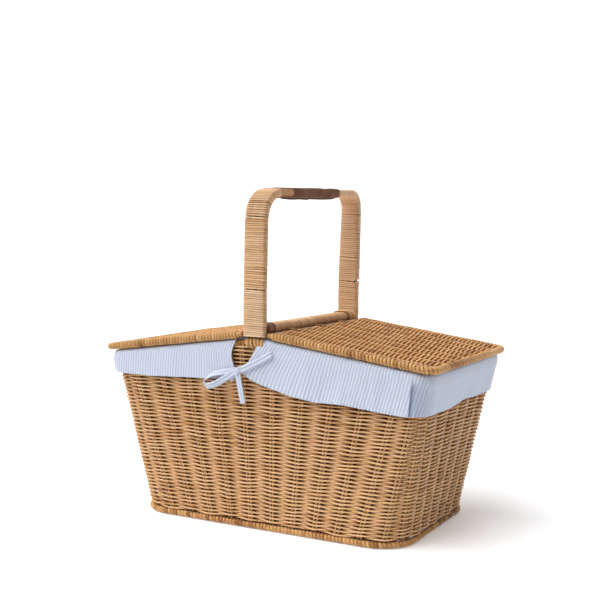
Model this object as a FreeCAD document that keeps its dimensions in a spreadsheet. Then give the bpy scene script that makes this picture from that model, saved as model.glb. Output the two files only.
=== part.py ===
"""A woven cane picnic basket: two lids, a fixed carrying handle and a cloth liner.

Frame: +X along the basket's length, +Y towards its back, +Z up.  The origin is on the
surface that the basket stands on, under the middle of its body.  Sizes are in millimetres.
"""
import FreeCAD, Part
import math
import os
import Sketcher
from FreeCAD import Placement, Rotation, Vector

os.makedirs("parts", exist_ok=True)
doc = FreeCAD.newDocument("picnic_basket")

# ---------------------------------------------------------------- driving dimensions
DIMENSIONS = {
    # woven body: outer faces of the side, at the ground and at the peak of the rim
    "body_low_x": 188.5,
    "body_low_y": 116.5,
    "body_low_corner": 48,
    "body_top_x": 231,
    "body_top_y": 129,
    "body_top_corner": 18,
    "side_thickness": 7,
    "side_bottom_z": 9,
    "stake_radius": 1.5,
    "stake_clearance": 0.15,
    "stake_pair_half_gap": 2.1,
    "pairs_on_long_side": 10,
    "pairs_on_short_side": 6,
    "pairs_on_corner": 2,
    "long_side_spread": 0.94,
    "short_side_spread": 0.93,
    "stake_foot_clearance": 0.3,
    "stake_head_clearance": 0.6,
    # foot border, a wrapped rod that the basket stands on
    "foot_x": 187.6,
    "foot_y": 115.1,
    "foot_corner": 44,
    "foot_radius": 4.4,
    "foot_rod_radius": 2.8,
    "foot_flat": 0.2,
    # base panel
    "base_thickness": 6.2,
    "base_stick_radius": 2,
    "base_stick_count": 9,
    "base_stick_pitch": 23,
    "base_stick_inset": 2.5,
    # gabled rim border
    "roof_angle": 7.68,
    "rim_peak_z": 236,
    "rim_half_length": 224,
    "rim_half_width": 125,
    "rim_corner": 18.2,
    "border_radius": 4.6,
    "border_rod_radius": 3,
    "fit_gap": 0.1,
    # lids, in their own plane from the hinge line outwards
    "hinge_x": 20,
    "hinge_z": 244.3,
    "lid_length": 212,
    "lid_half_width": 129,
    "lid_corner": 15,
    "lid_thickness": 7,
    "lid_weave_start": 5.6,
    "lid_wrap_start": 4,
    "lid_rod_overhang": 1.5,
    "lid_pair_count": 8,
    "lid_pair_pitch": 33.6,
    "hinge_rod_radius": 2.6,
    "hinge_clearance": 0.08,
    "loop_thickness": 1.8,
    "loop_width": 6,
    "loop_pitch": 67.2,
    "loop_tab_x": 8,
    "loop_tab_height": 3.6,
    "loop_tab_drop": 0.6,
    # carrying handle: a flat wrapped bow
    "handle_y": 129,
    "handle_foot_z": 243.9,
    "handle_top_z": 420.6,
    "handle_front_bend": 35,
    "handle_back_bend": 23.4,
    "handle_rise": 1,
    "handle_lean": 1,
    "handle_width": 28,
    "handle_thickness": 9.8,
    "wrap_thickness": 1.5,
    "handle_rod_radius": 2.9,
    "handle_rod_pitch": 9,
    "grip_front_y": -97,
    "grip_back_y": 62,
    "grip_width": 29.4,
    "grip_thickness": 12.4,
    "keeper_front_y": -95,
    "keeper_back_y": -64,
    "keeper_thickness": 0.9,
    "lacing_radius": 0.5,
    "lacing_count": 20,
    "lacing_margin": 5,
    "lacing_half_width": 4,
    "lacing_gap": 2.4,
    "binding_foot_half_width": 15.7,
    "binding_top_z": 259,
    "binding_top_thickness": 0.8,
    "binding_side_thickness": 1,
    "lashing_radius": 1.4,
    "lashing_count": 5,
    "lashing_pitch": 4.8,
    "lashing_inner_y": 122.3,
    "lashing_tail_y": 129.1,
    "lashing_tail_z": 232.4,
    # bar between the handle's feet, which the lids hinge on
    "crossbar_z": 250,
    "crossbar_half_width": 12,
    "crossbar_half_height": 6.5,
    "crossbar_half_length": 122.2,
    "crossbar_rod_radius": 4.7,
    "crossbar_binding_length": 20,
    "crossbar_binding_thickness": 1.7,
    "crossbar_binding_setback": 0.3,
    # cloth liner
    "bag_gap": 1.8,
    "cloth_thickness": 1,
    "bag_floor_z": 9.2,
    "collar_gap": 2.4,
    "collar_rise": 3,
    "left_collar_bottom_z": 184,
    "right_collar_bottom_z": 164,
    "left_collar_edge_x": -26,
    "right_collar_edge_x": -2,
    "rim_slit_edge_x": 12,
    "rim_slit_z": 224,
    "right_hem_angle": 14,
    "right_hem_drop": 8,
    "right_hem_length": 120,
    "tie_width": 8,
    "tie_thickness": 2,
    "tie_gap": 0.4,
    "tie_knot_x": -23,
    "tie_knot_z": 199,
}

sheet = doc.addObject("Spreadsheet::Sheet", "dims")
for row, (name, number) in enumerate(DIMENSIONS.items(), start=1):
    sheet.set(f"A{row}", name)
    sheet.set(f"B{row}", str(number))
    sheet.setAlias(f"B{row}", name)
doc.recompute()


class Size:
    """A length read from the sheet, with the expression that gives the same length."""

    def __init__(self, value, text):
        self.value = float(value)
        self.text = text

    def __add__(self, other):
        other = as_size(other)
        return Size(self.value + other.value, f"({self.text} + {other.text})")

    def __sub__(self, other):
        other = as_size(other)
        return Size(self.value - other.value, f"({self.text} - {other.text})")

    def __mul__(self, factor):
        return Size(self.value * factor, f"({self.text} * {factor})")

    def __neg__(self):
        return Size(-self.value, f"(-1 * {self.text})")


def as_size(thing):
    return thing if isinstance(thing, Size) else Size(thing, f"({thing})")


def size(name):
    return Size(getattr(sheet, name), f"dims.{name}")


def dim(name):
    return float(getattr(sheet, name))


def bind(thing, prop, length):
    setattr(thing, prop, length.value)
    thing.setExpression(prop, length.text)


ROOF = math.radians(dim("roof_angle"))
FRONT, BACK = -1, 1
LEFT, RIGHT = -1, 1
subparts = []


def keep(thing, label):
    """Name a finished piece, which is then written to its own file."""
    thing.Label = label
    subparts.append(thing)
    return thing


# ---------------------------------------------------------------- sketches
def drive(sketch, kind, *where_and_length):
    """Add a sketch constraint whose value follows the sheet."""
    *where, length = where_and_length
    index = sketch.addConstraint(Sketcher.Constraint(kind, *where, length.value))
    sketch.setExpression(f"Constraints[{index}]", length.text)


def corner_arc(centre_x, centre_y, radius, first, last):
    circle = Part.Circle(Vector(centre_x, centre_y, 0), Vector(0, 0, 1), radius)
    return Part.ArcOfCircle(circle, math.radians(first), math.radians(last))


def rounded_outline(sketch, low_x, high_x, half_y, radius):
    """A closed rectangle with four equal round corners, symmetrical about the X axis."""
    left, right = (low_x + radius), (high_x - radius)
    depth = half_y - radius
    points = [Vector(high_x.value, -depth.value, 0), Vector(high_x.value, depth.value, 0),
              Vector(right.value, half_y.value, 0), Vector(left.value, half_y.value, 0),
              Vector(low_x.value, depth.value, 0), Vector(low_x.value, -depth.value, 0),
              Vector(left.value, -half_y.value, 0), Vector(right.value, -half_y.value, 0)]
    centres = [(right, depth), (left, depth), (left, -depth), (right, -depth)]
    for side in range(4):
        sketch.addGeometry(Part.LineSegment(points[2 * side], points[2 * side + 1]))
        x, y = centres[side]
        sketch.addGeometry(corner_arc(x.value, y.value, radius.value, 90 * side, 90 * side + 90))
    for side in range(4):
        line, arc, following = 2 * side, 2 * side + 1, (2 * side + 2) % 8
        sketch.addConstraint(Sketcher.Constraint("Tangent", line, 2, arc, 1))
        sketch.addConstraint(Sketcher.Constraint("Tangent", arc, 2, following, 1))
        x, y = centres[side]
        drive(sketch, "DistanceX", -1, 1, arc, 3, x)
        drive(sketch, "DistanceY", -1, 1, arc, 3, y)
    drive(sketch, "Radius", 1, radius)
    for arc in (3, 5, 7):
        sketch.addConstraint(Sketcher.Constraint("Equal", 1, arc))


def u_outline(sketch, start_x, end_x, half_y, radius):
    """An open U path: out along one side, across the end and back along the other side."""
    turn_x, turn_y = end_x - radius, half_y - radius
    near = Part.LineSegment(Vector(start_x.value, -half_y.value, 0),
                            Vector(turn_x.value, -half_y.value, 0))
    far = Part.LineSegment(Vector(turn_x.value, half_y.value, 0),
                           Vector(start_x.value, half_y.value, 0))
    end = Part.LineSegment(Vector(end_x.value, -turn_y.value, 0),
                           Vector(end_x.value, turn_y.value, 0))
    sketch.addGeometry(near)
    sketch.addGeometry(corner_arc(turn_x.value, -turn_y.value, radius.value, 270, 360))
    sketch.addGeometry(end)
    sketch.addGeometry(corner_arc(turn_x.value, turn_y.value, radius.value, 0, 90))
    sketch.addGeometry(far)
    for first, second in ((0, 1), (1, 2), (2, 3), (3, 4)):
        sketch.addConstraint(Sketcher.Constraint("Tangent", first, 2, second, 1))
    for arc, y in ((1, -turn_y), (3, turn_y)):
        drive(sketch, "DistanceX", -1, 1, arc, 3, turn_x)
        drive(sketch, "DistanceY", -1, 1, arc, 3, y)
    drive(sketch, "Radius", 1, radius)
    sketch.addConstraint(Sketcher.Constraint("Equal", 1, 3))
    for line, point in ((0, 1), (4, 2)):
        sketch.addConstraint(Sketcher.Constraint("Horizontal", line))
        drive(sketch, "DistanceX", -1, 1, line, point, start_x)


def circles(sketch, x, y, radii):
    """Round profiles that share one centre."""
    for index, radius in enumerate(radii):
        circle = Part.Circle(Vector(x.value, y.value, 0), Vector(0, 0, 1), radius.value)
        sketch.addGeometry(circle)
        drive(sketch, "DistanceX", -1, 1, index, 3, x)
        drive(sketch, "DistanceY", -1, 1, index, 3, y)
        drive(sketch, "Radius", index, radius)


def body_sketch(body, role, name, offset=None):
    plane = next(item for item in body.Origin.OriginFeatures if item.Role == role)
    sketch = body.newObject("Sketcher::SketchObject", name)
    sketch.AttachmentSupport = (plane, [""])
    sketch.MapMode = "FlatFace"
    if offset is not None:
        sketch.AttachmentOffset = Placement(Vector(0, 0, offset.value), Rotation())
        sketch.setExpression("AttachmentOffset.Base.z", offset.text)
    return sketch


def pipe_body(name, path_role, draw_path, profile_role, profile_offset, draw_profile):
    """A PartDesign body made of one profile carried along one path."""
    body = doc.addObject("PartDesign::Body", name)
    path = body_sketch(body, path_role, name + "_path")
    draw_path(path)
    profile = body_sketch(body, profile_role, name + "_profile", profile_offset)
    draw_profile(profile)
    doc.recompute()
    pipe = body.newObject("PartDesign::AdditivePipe", name + "_pipe")
    pipe.Profile = profile
    pipe.Spine = path
    body.Tip = pipe
    return body


# ---------------------------------------------------------------- simple pieces
def box(name, low, high, placement=Placement()):
    piece = doc.addObject("Part::Box", name)
    piece.Length, piece.Width, piece.Height = (b - a for a, b in zip(low, high))
    piece.Placement = placement * Placement(Vector(*low), Rotation())
    return piece


def cylinder(name, radius, length, placement):
    piece = doc.addObject("Part::Cylinder", name)
    bind(piece, "Radius", radius)
    bind(piece, "Height", length)
    piece.Placement = placement
    return piece


def cut(name, base, tool):
    piece = doc.addObject("Part::Cut", name)
    piece.Base = base
    piece.Tool = tool
    return piece


def compound(name, pieces):
    group = doc.addObject("Part::Compound", name)
    group.Links = pieces
    return group


def fuse(name, pieces):
    group = doc.addObject("Part::MultiFuse", name)
    group.Shapes = pieces
    return group


def feature(name, shape):
    piece = doc.addObject("Part::Feature", name)
    piece.Shape = shape
    piece.Placement = Placement()
    return piece


ALONG_X = Rotation(Vector(0, 1, 0), 90)
ALONG_Y = Rotation(Vector(1, 0, 0), -90)
FAR = 400
MAX_ROUND = 3.0


# ---------------------------------------------------------------- foot border and base
def make_foot():
    half_x, half_y, corner = size("foot_x"), size("foot_y"), size("foot_corner")
    centre_z = size("foot_radius") - size("foot_flat")

    def path(sketch):
        rounded_outline(sketch, -half_x, half_x, half_y, corner)
        sketch.AttachmentOffset = Placement(Vector(0, 0, centre_z.value), Rotation())
        sketch.setExpression("AttachmentOffset.Base.z", centre_z.text)

    def rod_profile(sketch):
        circles(sketch, half_x, centre_z, [size("foot_rod_radius")])

    def bore_profile(sketch):
        circles(sketch, half_x, centre_z, [size("foot_rod_radius") + size("fit_gap")])

    def wrap_profile(sketch):
        circles(sketch, half_x, centre_z, [size("foot_radius")])

    start = half_y - corner
    rod = pipe_body("foot_rod", "XY_Plane", path, "XZ_Plane", start, rod_profile)
    keep(rod, "foot_rod")
    bore = pipe_body("foot_bore", "XY_Plane", path, "XZ_Plane", start, bore_profile)
    wrap = pipe_body("foot_wrap_tube", "XY_Plane", path, "XZ_Plane", start, wrap_profile)
    ground = box("ground", (-FAR, -FAR, -FAR), (FAR, FAR, 0))
    keep(cut("foot_wrap", wrap, fuse("foot_hollow", [bore, ground])), "foot_wrap")


def make_base():
    """A flat woven panel inside the foot border, over sticks that run lengthways."""
    margin = size("foot_radius") + size("fit_gap") * 3
    half_x, half_y = size("foot_x") - margin, size("foot_y") - margin
    thickness = size("base_thickness")
    body = doc.addObject("PartDesign::Body", "base_panel")
    outline = body_sketch(body, "XY_Plane", "base_outline",
                          size("side_bottom_z") - size("fit_gap") - thickness)
    rounded_outline(outline, -half_x, half_x, half_y, size("foot_corner") - margin)
    pad = body.newObject("PartDesign::Pad", "base_pad")
    pad.Profile = outline
    bind(pad, "Length", thickness)
    body.Tip = pad
    centre_z = dim("side_bottom_z") - dim("fit_gap") - dim("base_thickness") / 2
    count = int(dim("base_stick_count"))
    sticks, holes = [], []
    for index in range(count):
        y = (index - (count - 1) / 2) * dim("base_stick_pitch")
        corner = dim("foot_corner") - margin.value
        beyond = max(0.0, abs(y) + dim("base_stick_radius") - (half_y.value - corner))
        inset = corner - math.sqrt(max(0.0, corner ** 2 - beyond ** 2))
        reach = half_x - (size("base_stick_inset") + inset)
        place = Placement(Vector(-reach.value, y, centre_z), ALONG_X)
        radius = size("base_stick_radius")
        sticks.append(cylinder(f"base_stick_{index}", radius, reach * 2, place))
        place = Placement(Vector(-dim("foot_x"), y, centre_z), ALONG_X)
        radius = radius + size("fit_gap")
        holes.append(cylinder(f"base_hole_{index}", radius, size("foot_x") * 2, place))
    keep(compound("base_sticks", sticks), "base_sticks")
    keep(cut("base_weave", body, compound("base_holes", holes)), "base_weave")


# ---------------------------------------------------------------- body of the basket
def level_outline(name, level, outset):
    """A rounded rectangle at the ground or at the rim's peak, outset from the side's face."""
    sketch = doc.addObject("Sketcher::SketchObject", name)
    half_x = size(f"body_{level}_x") + outset
    half_y = size(f"body_{level}_y") + outset
    rounded_outline(sketch, -half_x, half_x, half_y, size(f"body_{level}_corner") + outset)
    if level == "top":
        sketch.Placement = Placement(Vector(0, 0, dim("rim_peak_z")), Rotation())
        sketch.setExpression("Placement.Base.z", "dims.rim_peak_z")
    return sketch


def tapered_block(name, outset):
    """The basket's outer form, outset from its face, from the ground to the peak."""
    loft = doc.addObject("Part::Loft", name)
    loft.Sections = [level_outline(name + "_low", "low", outset),
                     level_outline(name + "_top", "top", outset)]
    loft.Solid = True
    loft.Ruled = True
    return loft


def above_gable(name, peak_z):
    """Everything above two planes that fall from the peak to both ends at the roof's angle."""
    near_peak = dim("handle_width")
    slabs = []
    for side in (LEFT, RIGHT):
        turn = Rotation(Vector(0, 0, 1), 0 if side == RIGHT else 180)
        tilt = turn * Rotation(Vector(0, 1, 0), dim("roof_angle"))
        place = Placement(Vector(0, 0, peak_z), tilt)
        slabs.append(box(f"{name}_{side + 1}", (0, -FAR, 0), (FAR, FAR, FAR), place))
    slabs.append(box(f"{name}_middle", (-near_peak, -FAR, peak_z), (near_peak, FAR, FAR)))
    return fuse(name, slabs)


def perimeter_point(level, inset, where):
    """A point of the outline at one level: where is (side, fraction along that side)."""
    half_x = dim(f"body_{level}_x") - inset
    half_y = dim(f"body_{level}_y") - inset
    corner = dim(f"body_{level}_corner") - inset
    z = dim("rim_peak_z") if level == "top" else 0.0
    flat_x, flat_y = half_x - corner, half_y - corner
    side, fraction = where
    if side == "front":
        return Vector(fraction * flat_x, -half_y, z), Vector(1, 0, 0)
    if side == "back":
        return Vector(-fraction * flat_x, half_y, z), Vector(-1, 0, 0)
    if side == "right":
        return Vector(half_x, fraction * flat_y, z), Vector(0, 1, 0)
    if side == "left":
        return Vector(-half_x, -fraction * flat_y, z), Vector(0, -1, 0)
    quarter = ("corner_1", "corner_2", "corner_3", "corner_4").index(side)
    angle = math.radians(-90 + 90 * quarter + 90 * fraction)
    sign_x = 1 if quarter in (0, 1) else -1
    sign_y = 1 if quarter in (1, 2) else -1
    centre = Vector(sign_x * flat_x, sign_y * flat_y, z)
    outward = Vector(math.cos(angle), math.sin(angle), 0)
    return centre + outward * corner, Vector(-math.sin(angle), math.cos(angle), 0)


def stake_pair_places():
    """The places of all stake pairs, in order round the basket."""
    def spread(count, reach):
        return [reach * (2 * index / (count - 1) - 1) for index in range(count)]

    long_side = spread(int(dim("pairs_on_long_side")), dim("long_side_spread"))
    short_side = spread(int(dim("pairs_on_short_side")), dim("short_side_spread"))
    count = int(dim("pairs_on_corner"))
    corner = [(index + 1) / (count + 1) for index in range(count)]
    order = (("front", long_side), ("corner_1", corner), ("right", short_side),
             ("corner_2", corner), ("back", long_side), ("corner_3", corner),
             ("left", short_side), ("corner_4", corner))
    return [(side, fraction) for side, fractions in order for fraction in fractions]


def slanted_rods(radius, bottom_z, top_gap):
    """One round rod in each stake's place, from a level up to a distance below the gable."""
    rods = []
    inset = dim("side_thickness") / 2
    peak = dim("rim_peak_z")
    for where in stake_pair_places():
        low, along = perimeter_point("low", inset, where)
        top, _ = perimeter_point("top", inset, where)
        for side in (-1, 1):
            shift = along * (side * dim("stake_pair_half_gap"))
            axis = (top - low) * (1 / peak)
            start = low + shift + axis * bottom_z
            fall = math.tan(ROOF)
            ratio = (peak - top_gap - fall * abs(start.x)) - bottom_z
            length = ratio / (1 + fall * abs(axis.x))
            rods.append(Part.makeCylinder(radius, length * axis.Length, start, axis))
    return rods


def make_side():
    thickness = size("side_thickness")
    outer = tapered_block("side_outer", as_size(0))
    inner = tapered_block("side_inner", -thickness)
    shell = cut("side_shell", outer, inner)
    border = dim("border_radius") + dim("fit_gap")
    roof = above_gable("side_roof", dim("rim_peak_z") - border / math.cos(ROOF))
    floor = box("side_floor", (-FAR, -FAR, -FAR), (FAR, FAR, dim("side_bottom_z")))
    trimmed = cut("side_trimmed", shell, fuse("side_limits", [roof, floor]))
    bottom = dim("side_bottom_z")
    hole_radius = dim("stake_radius") + dim("stake_clearance")
    holes = slanted_rods(hole_radius, bottom - border, 0)
    channels = feature("stake_channels", Part.makeCompound(holes))
    keep(cut("side_weave", trimmed, channels), "side_weave")
    stakes = slanted_rods(dim("stake_radius"), bottom + dim("stake_foot_clearance"),
                          border / math.cos(ROOF) + dim("stake_head_clearance"))
    keep(feature("side_stakes", Part.makeCompound(stakes)), "side_stakes")


# ---------------------------------------------------------------- rim border
def half_rim(radius):
    """A round tube along the right half of the rim, run past the peak to be mitred there."""
    width, length = dim("rim_half_width"), dim("rim_half_length")
    corner = dim("rim_corner")
    past = -(dim("border_radius") * 2)
    points = [Vector(past, -width, 0), Vector(length - corner, -width, 0),
              Vector(length, -width + corner, 0), Vector(length, width - corner, 0),
              Vector(length - corner, width, 0), Vector(past, width, 0)]
    middle = corner * math.sqrt(0.5)
    first = Vector(length - corner + middle, -width + corner - middle, 0)
    second = Vector(first.x, -first.y, 0)
    path = Part.Wire([Part.LineSegment(points[0], points[1]).toShape(),
                      Part.Arc(points[1], first, points[2]).toShape(),
                      Part.LineSegment(points[2], points[3]).toShape(),
                      Part.Arc(points[3], second, points[4]).toShape(),
                      Part.LineSegment(points[4], points[5]).toShape()])
    section = Part.Wire([Part.makeCircle(radius, points[0], Vector(1, 0, 0))])
    tube = path.makePipeShell([section], True, False)
    tube.rotate(Vector(0, 0, 0), Vector(0, 1, 0), dim("roof_angle"))
    tube.translate(Vector(0, 0, dim("rim_peak_z")))
    return tube.common(Part.makeBox(FAR, 2 * FAR, 2 * FAR, Vector(0, -FAR, -FAR)))


def whole_rim(radius):
    half = half_rim(radius)
    other = half.mirror(Vector(0, 0, 0), Vector(1, 0, 0))
    return half.fuse(other).removeSplitter()


def make_rim():
    rod = whole_rim(dim("border_rod_radius"))
    keep(feature("rim_rod", rod), "rim_rod")
    bore = feature("rim_bore", whole_rim(dim("border_rod_radius") + dim("fit_gap")))
    outside = feature("rim_outside", whole_rim(dim("border_radius")))
    keep(cut("rim_wrap", outside, bore), "rim_wrap")


# ---------------------------------------------------------------- lids
def lid_placement(side):
    """From a lid's own plane to its closed place: local X runs from the hinge outwards."""
    turn = Rotation(Vector(0, 0, 1), 0 if side == RIGHT else 180)
    hinge = Vector(side * dim("hinge_x"), 0, dim("hinge_z"))
    return Placement(hinge, turn * Rotation(Vector(0, 1, 0), dim("roof_angle")))


def make_lid(side, word):
    place = lid_placement(side)
    half_width, length = size("lid_half_width"), size("lid_length")
    corner, border = size("lid_corner"), size("border_radius")
    rod_radius, gap = size("border_rod_radius"), size("fit_gap")

    def make_tube(name, start, radii):
        def path(sketch):
            u_outline(sketch, start, length, half_width, corner)

        def profile(sketch):
            circles(sketch, -half_width, as_size(0), radii)

        tube = pipe_body(name, "XY_Plane", path, "YZ_Plane", start, profile)
        tube.Placement = place
        return keep(tube, name)

    make_tube(f"{word}_lid_frame", -size("lid_rod_overhang"), [rod_radius])
    make_tube(f"{word}_lid_wrap", size("lid_wrap_start"), [border, rod_radius + gap])

    rod_length = (half_width - rod_radius - gap) * 2
    rod_place = place * Placement(Vector(0, -rod_length.value / 2, 0), ALONG_Y)
    rod = cylinder(f"{word}_lid_hinge_rod", size("hinge_rod_radius"), rod_length, rod_place)
    keep(rod, f"{word}_lid_hinge_rod")

    panel = doc.addObject("PartDesign::Body", f"{word}_lid_panel")
    outline = body_sketch(panel, "XY_Plane", f"{word}_lid_outline")
    inset = border + gap
    rounded_outline(outline, size("lid_weave_start"), length - inset, half_width - inset,
                    corner - inset)
    pad = panel.newObject("PartDesign::Pad", f"{word}_lid_pad")
    pad.Profile = outline
    bind(pad, "Length", size("lid_thickness"))
    pad.Midplane = True
    panel.Tip = pad
    panel.Placement = place

    stakes, holes = [], []
    count = int(dim("lid_pair_count"))
    first_x = size("hinge_rod_radius") + gap
    turn = (corner - inset).value
    for pair in range(count):
        middle = (pair - (count - 1) / 2) * dim("lid_pair_pitch")
        for shift in (-dim("stake_pair_half_gap"), dim("stake_pair_half_gap")):
            number = len(stakes)
            edge = abs(middle + shift) + dim("stake_radius") + gap.value
            beyond = max(0.0, edge - (half_width - corner).value)
            short = turn - math.sqrt(turn ** 2 - beyond ** 2)
            stake_length = length - inset - first_x - gap - short
            spot = place * Placement(Vector(first_x.value, middle + shift, 0), ALONG_X)
            name = f"{word}_lid_stake_{number}"
            stakes.append(cylinder(name, size("stake_radius"), stake_length, spot))
            radius = size("stake_radius") + size("stake_clearance")
            spot = place * Placement(Vector(0, middle + shift, 0), ALONG_X)
            holes.append(cylinder(f"{word}_lid_hole_{number}", radius, length, spot))
    keep(compound(f"{word}_lid_stakes", stakes), f"{word}_lid_stakes")
    channels = compound(f"{word}_lid_holes", holes)
    keep(cut(f"{word}_lid_weave", panel, channels), f"{word}_lid_weave")


# ---------------------------------------------------------------- bar between the feet
def stadium(half_width, half_height, low_y, high_y):
    """A flat-sided bar along Y with round edges, about the crossbar's centre line."""
    z = dim("crossbar_z")
    flat = half_width - half_height
    core = Part.makeBox(2 * flat, high_y - low_y, 2 * half_height,
                        Vector(-flat, low_y, z - half_height))
    for x in (-flat, flat):
        edge = Part.makeCylinder(half_height, high_y - low_y, Vector(x, low_y, z), Vector(0, 1, 0))
        core = core.fuse(edge)
    return core.removeSplitter()


def make_crossbar():
    reach = dim("crossbar_half_length")
    half_width, half_height = dim("crossbar_half_width"), dim("crossbar_half_height")
    gap, wrap = dim("fit_gap"), dim("wrap_thickness")
    outside = feature("crossbar_outside", stadium(half_width, half_height, -reach, reach))
    hollow = stadium(half_width - wrap, half_height - wrap, -FAR, FAR)
    keep(cut("crossbar_wrap", outside, feature("crossbar_hollow", hollow)), "crossbar_wrap")

    rods = []
    for index, side in enumerate((-1, 1)):
        x = side * (half_width - wrap - dim("crossbar_rod_radius") - gap)
        place = Placement(Vector(x, -reach, dim("crossbar_z")), ALONG_Y)
        radius = size("crossbar_rod_radius")
        length = size("crossbar_half_length") * 2
        rods.append(cylinder(f"crossbar_rod_{index}", radius, length, place))
    keep(compound("crossbar_rods", rods), "crossbar_rods")

    thick = dim("crossbar_binding_thickness") + gap
    for side, word in ((FRONT, "front"), (BACK, "back")):
        ends = sorted((side * (reach - dim("crossbar_binding_setback")),
                       side * (reach - dim("crossbar_binding_length"))))
        sleeve = stadium(half_width + thick, half_height + thick, *ends)
        bore = stadium(half_width + gap, half_height + gap, -FAR, FAR)
        name = f"crossbar_binding_{word}"
        keep(feature(name, sleeve.cut(bore)), name)


def make_hinge_loops(side, word):
    """Cane loops that hold a lid's hinge rod against the crossbar."""
    bore = dim("hinge_rod_radius") + dim("hinge_clearance")
    outer = bore + dim("loop_thickness")
    width = dim("loop_width")
    x, z = side * dim("hinge_x"), dim("hinge_z")
    bar = stadium(dim("crossbar_half_width") + dim("fit_gap"),
                  dim("crossbar_half_height") + dim("fit_gap"), -FAR, FAR)
    loops = []
    for index in (-1, 0, 1):
        low_y = index * dim("loop_pitch") - width / 2
        ring = Part.makeCylinder(outer, width, Vector(x, low_y, z), Vector(0, 1, 0))
        tab_ends = sorted((side * dim("loop_tab_x"), side * (dim("hinge_x") - bore)))
        tab = Part.makeBox(tab_ends[1] - tab_ends[0], width, dim("loop_tab_height"),
                           Vector(tab_ends[0], low_y, z - dim("loop_tab_drop")))
        hole = Part.makeCylinder(bore, width + 2, Vector(x, low_y - 1, z), Vector(0, 1, 0))
        loops.append(ring.fuse(tab).cut(hole).cut(bar).removeSplitter())
    name = f"{word}_hinge_loops"
    keep(feature(name, Part.makeCompound(loops)), name)


# ---------------------------------------------------------------- carrying handle
def handle_path(low_z):
    """Up the front leg, over the rising top and down the back leg, in the plane x = 0."""
    y = dim("handle_y")
    front_bend, back_bend = dim("handle_front_bend"), dim("handle_back_bend")
    rise = math.radians(dim("handle_rise"))
    up, across = Vector(0, -math.sin(rise), math.cos(rise)), Vector(0, math.cos(rise), math.sin(rise))
    middle = Vector(0, 0, dim("handle_top_z"))
    front_end = middle + across * ((-y + front_bend * (1 - math.sin(rise))) / math.cos(rise))
    back_end = middle + across * ((y - back_bend * (1 + math.sin(rise))) / math.cos(rise))
    front_centre = front_end - up * front_bend
    back_centre = back_end - up * back_bend
    front_way = (up - Vector(0, 1, 0)).normalize()
    back_way = (up + Vector(0, 1, 0)).normalize()
    front_foot, back_foot = Vector(0, -y, low_z), Vector(0, y, low_z)
    front_shoulder = Vector(0, -y, front_centre.z)
    back_shoulder = Vector(0, y, back_centre.z)
    return Part.Wire([Part.LineSegment(front_foot, front_shoulder).toShape(),
                      Part.Arc(front_shoulder, front_centre + front_way * front_bend,
                               front_end).toShape(),
                      Part.LineSegment(front_end, back_end).toShape(),
                      Part.Arc(back_end, back_centre + back_way * back_bend,
                               back_shoulder).toShape(),
                      Part.LineSegment(back_shoulder, back_foot).toShape()])


def turned(shape, centre, axis, angle):
    """A copy of the shape, turned about the line through the centre."""
    turn = Placement(Vector(0, 0, 0), Rotation(axis, angle), centre)
    return shape.transformed(turn.toMatrix(), copy=True)


def leaned(shape):
    """The handle's parts lean a little to the right, about the feet."""
    return turned(shape, Vector(0, 0, dim("handle_foot_z")), Vector(0, 1, 0), dim("handle_lean"))


def flat_section(width, thickness, z):
    """A rectangle with round corners across the handle's front leg."""
    y = -dim("handle_y")
    plate = Part.makePlane(width, thickness, Vector(-width / 2, y - thickness / 2, z))
    prism = plate.extrude(Vector(0, 0, 1))
    upright = [edge for edge in prism.Edges
               if edge.Vertexes[0].Z != edge.Vertexes[1].Z]
    rounded = prism.makeFillet(min(thickness / 2 - 2 * dim("fit_gap"), MAX_ROUND), upright)
    return min(rounded.Faces, key=lambda face: face.CenterOfMass.z).OuterWire


def flat_bow(width, thickness, low_z):
    path = handle_path(low_z)
    return path.makePipeShell([flat_section(width, thickness, low_z)], True, False)


def make_handle():
    foot = dim("handle_foot_z")
    width, thickness = dim("handle_width"), dim("handle_thickness")
    wrap, gap = dim("wrap_thickness"), dim("fit_gap")
    outer = flat_bow(width, thickness, foot)
    inner = flat_bow(width - 2 * wrap, thickness - 2 * wrap, foot - wrap)
    shell = outer.cut(inner)
    zones = {"front": (-FAR, dim("grip_front_y") - gap), "back": (dim("grip_back_y") + gap, FAR)}
    for word, (low_y, high_y) in zones.items():
        zone = Part.makeBox(2 * FAR, high_y - low_y, 2 * FAR, Vector(-FAR, low_y, 0))
        name = f"handle_wrap_{word}"
        keep(feature(name, leaned(shell.common(zone))), name)

    grip_width, grip_thickness = dim("grip_width"), dim("grip_thickness")
    leather = flat_bow(grip_width, grip_thickness, foot).cut(inner)
    keeper_bore = flat_bow(grip_width + 2 * gap, grip_thickness + 2 * gap, foot - wrap)
    proud = 2 * (dim("keeper_thickness") + gap)
    keeper = flat_bow(grip_width + proud, grip_thickness + proud, foot).cut(keeper_bore)
    for name, sleeve, low_y, high_y in (
            ("grip_leather", leather, dim("grip_front_y"), dim("grip_back_y")),
            ("grip_keeper", keeper, dim("keeper_front_y"), dim("keeper_back_y"))):
        zone = Part.makeBox(2 * FAR, high_y - low_y, 2 * FAR, Vector(-FAR, low_y, 0))
        keep(feature(name, leaned(sleeve.common(zone))), name)

    rods = []
    radius = dim("handle_rod_radius")
    for index in (-1, 0, 1):
        path = handle_path(foot)
        path.translate(Vector(index * dim("handle_rod_pitch"), 0, 0))
        start = Vector(index * dim("handle_rod_pitch"), -dim("handle_y"), foot)
        section = Part.Wire([Part.makeCircle(radius, start, Vector(0, 0, 1))])
        rods.append(path.makePipeShell([section], True, False))
    keep(feature("handle_rods", leaned(Part.makeCompound(rods))), "handle_rods")


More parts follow.
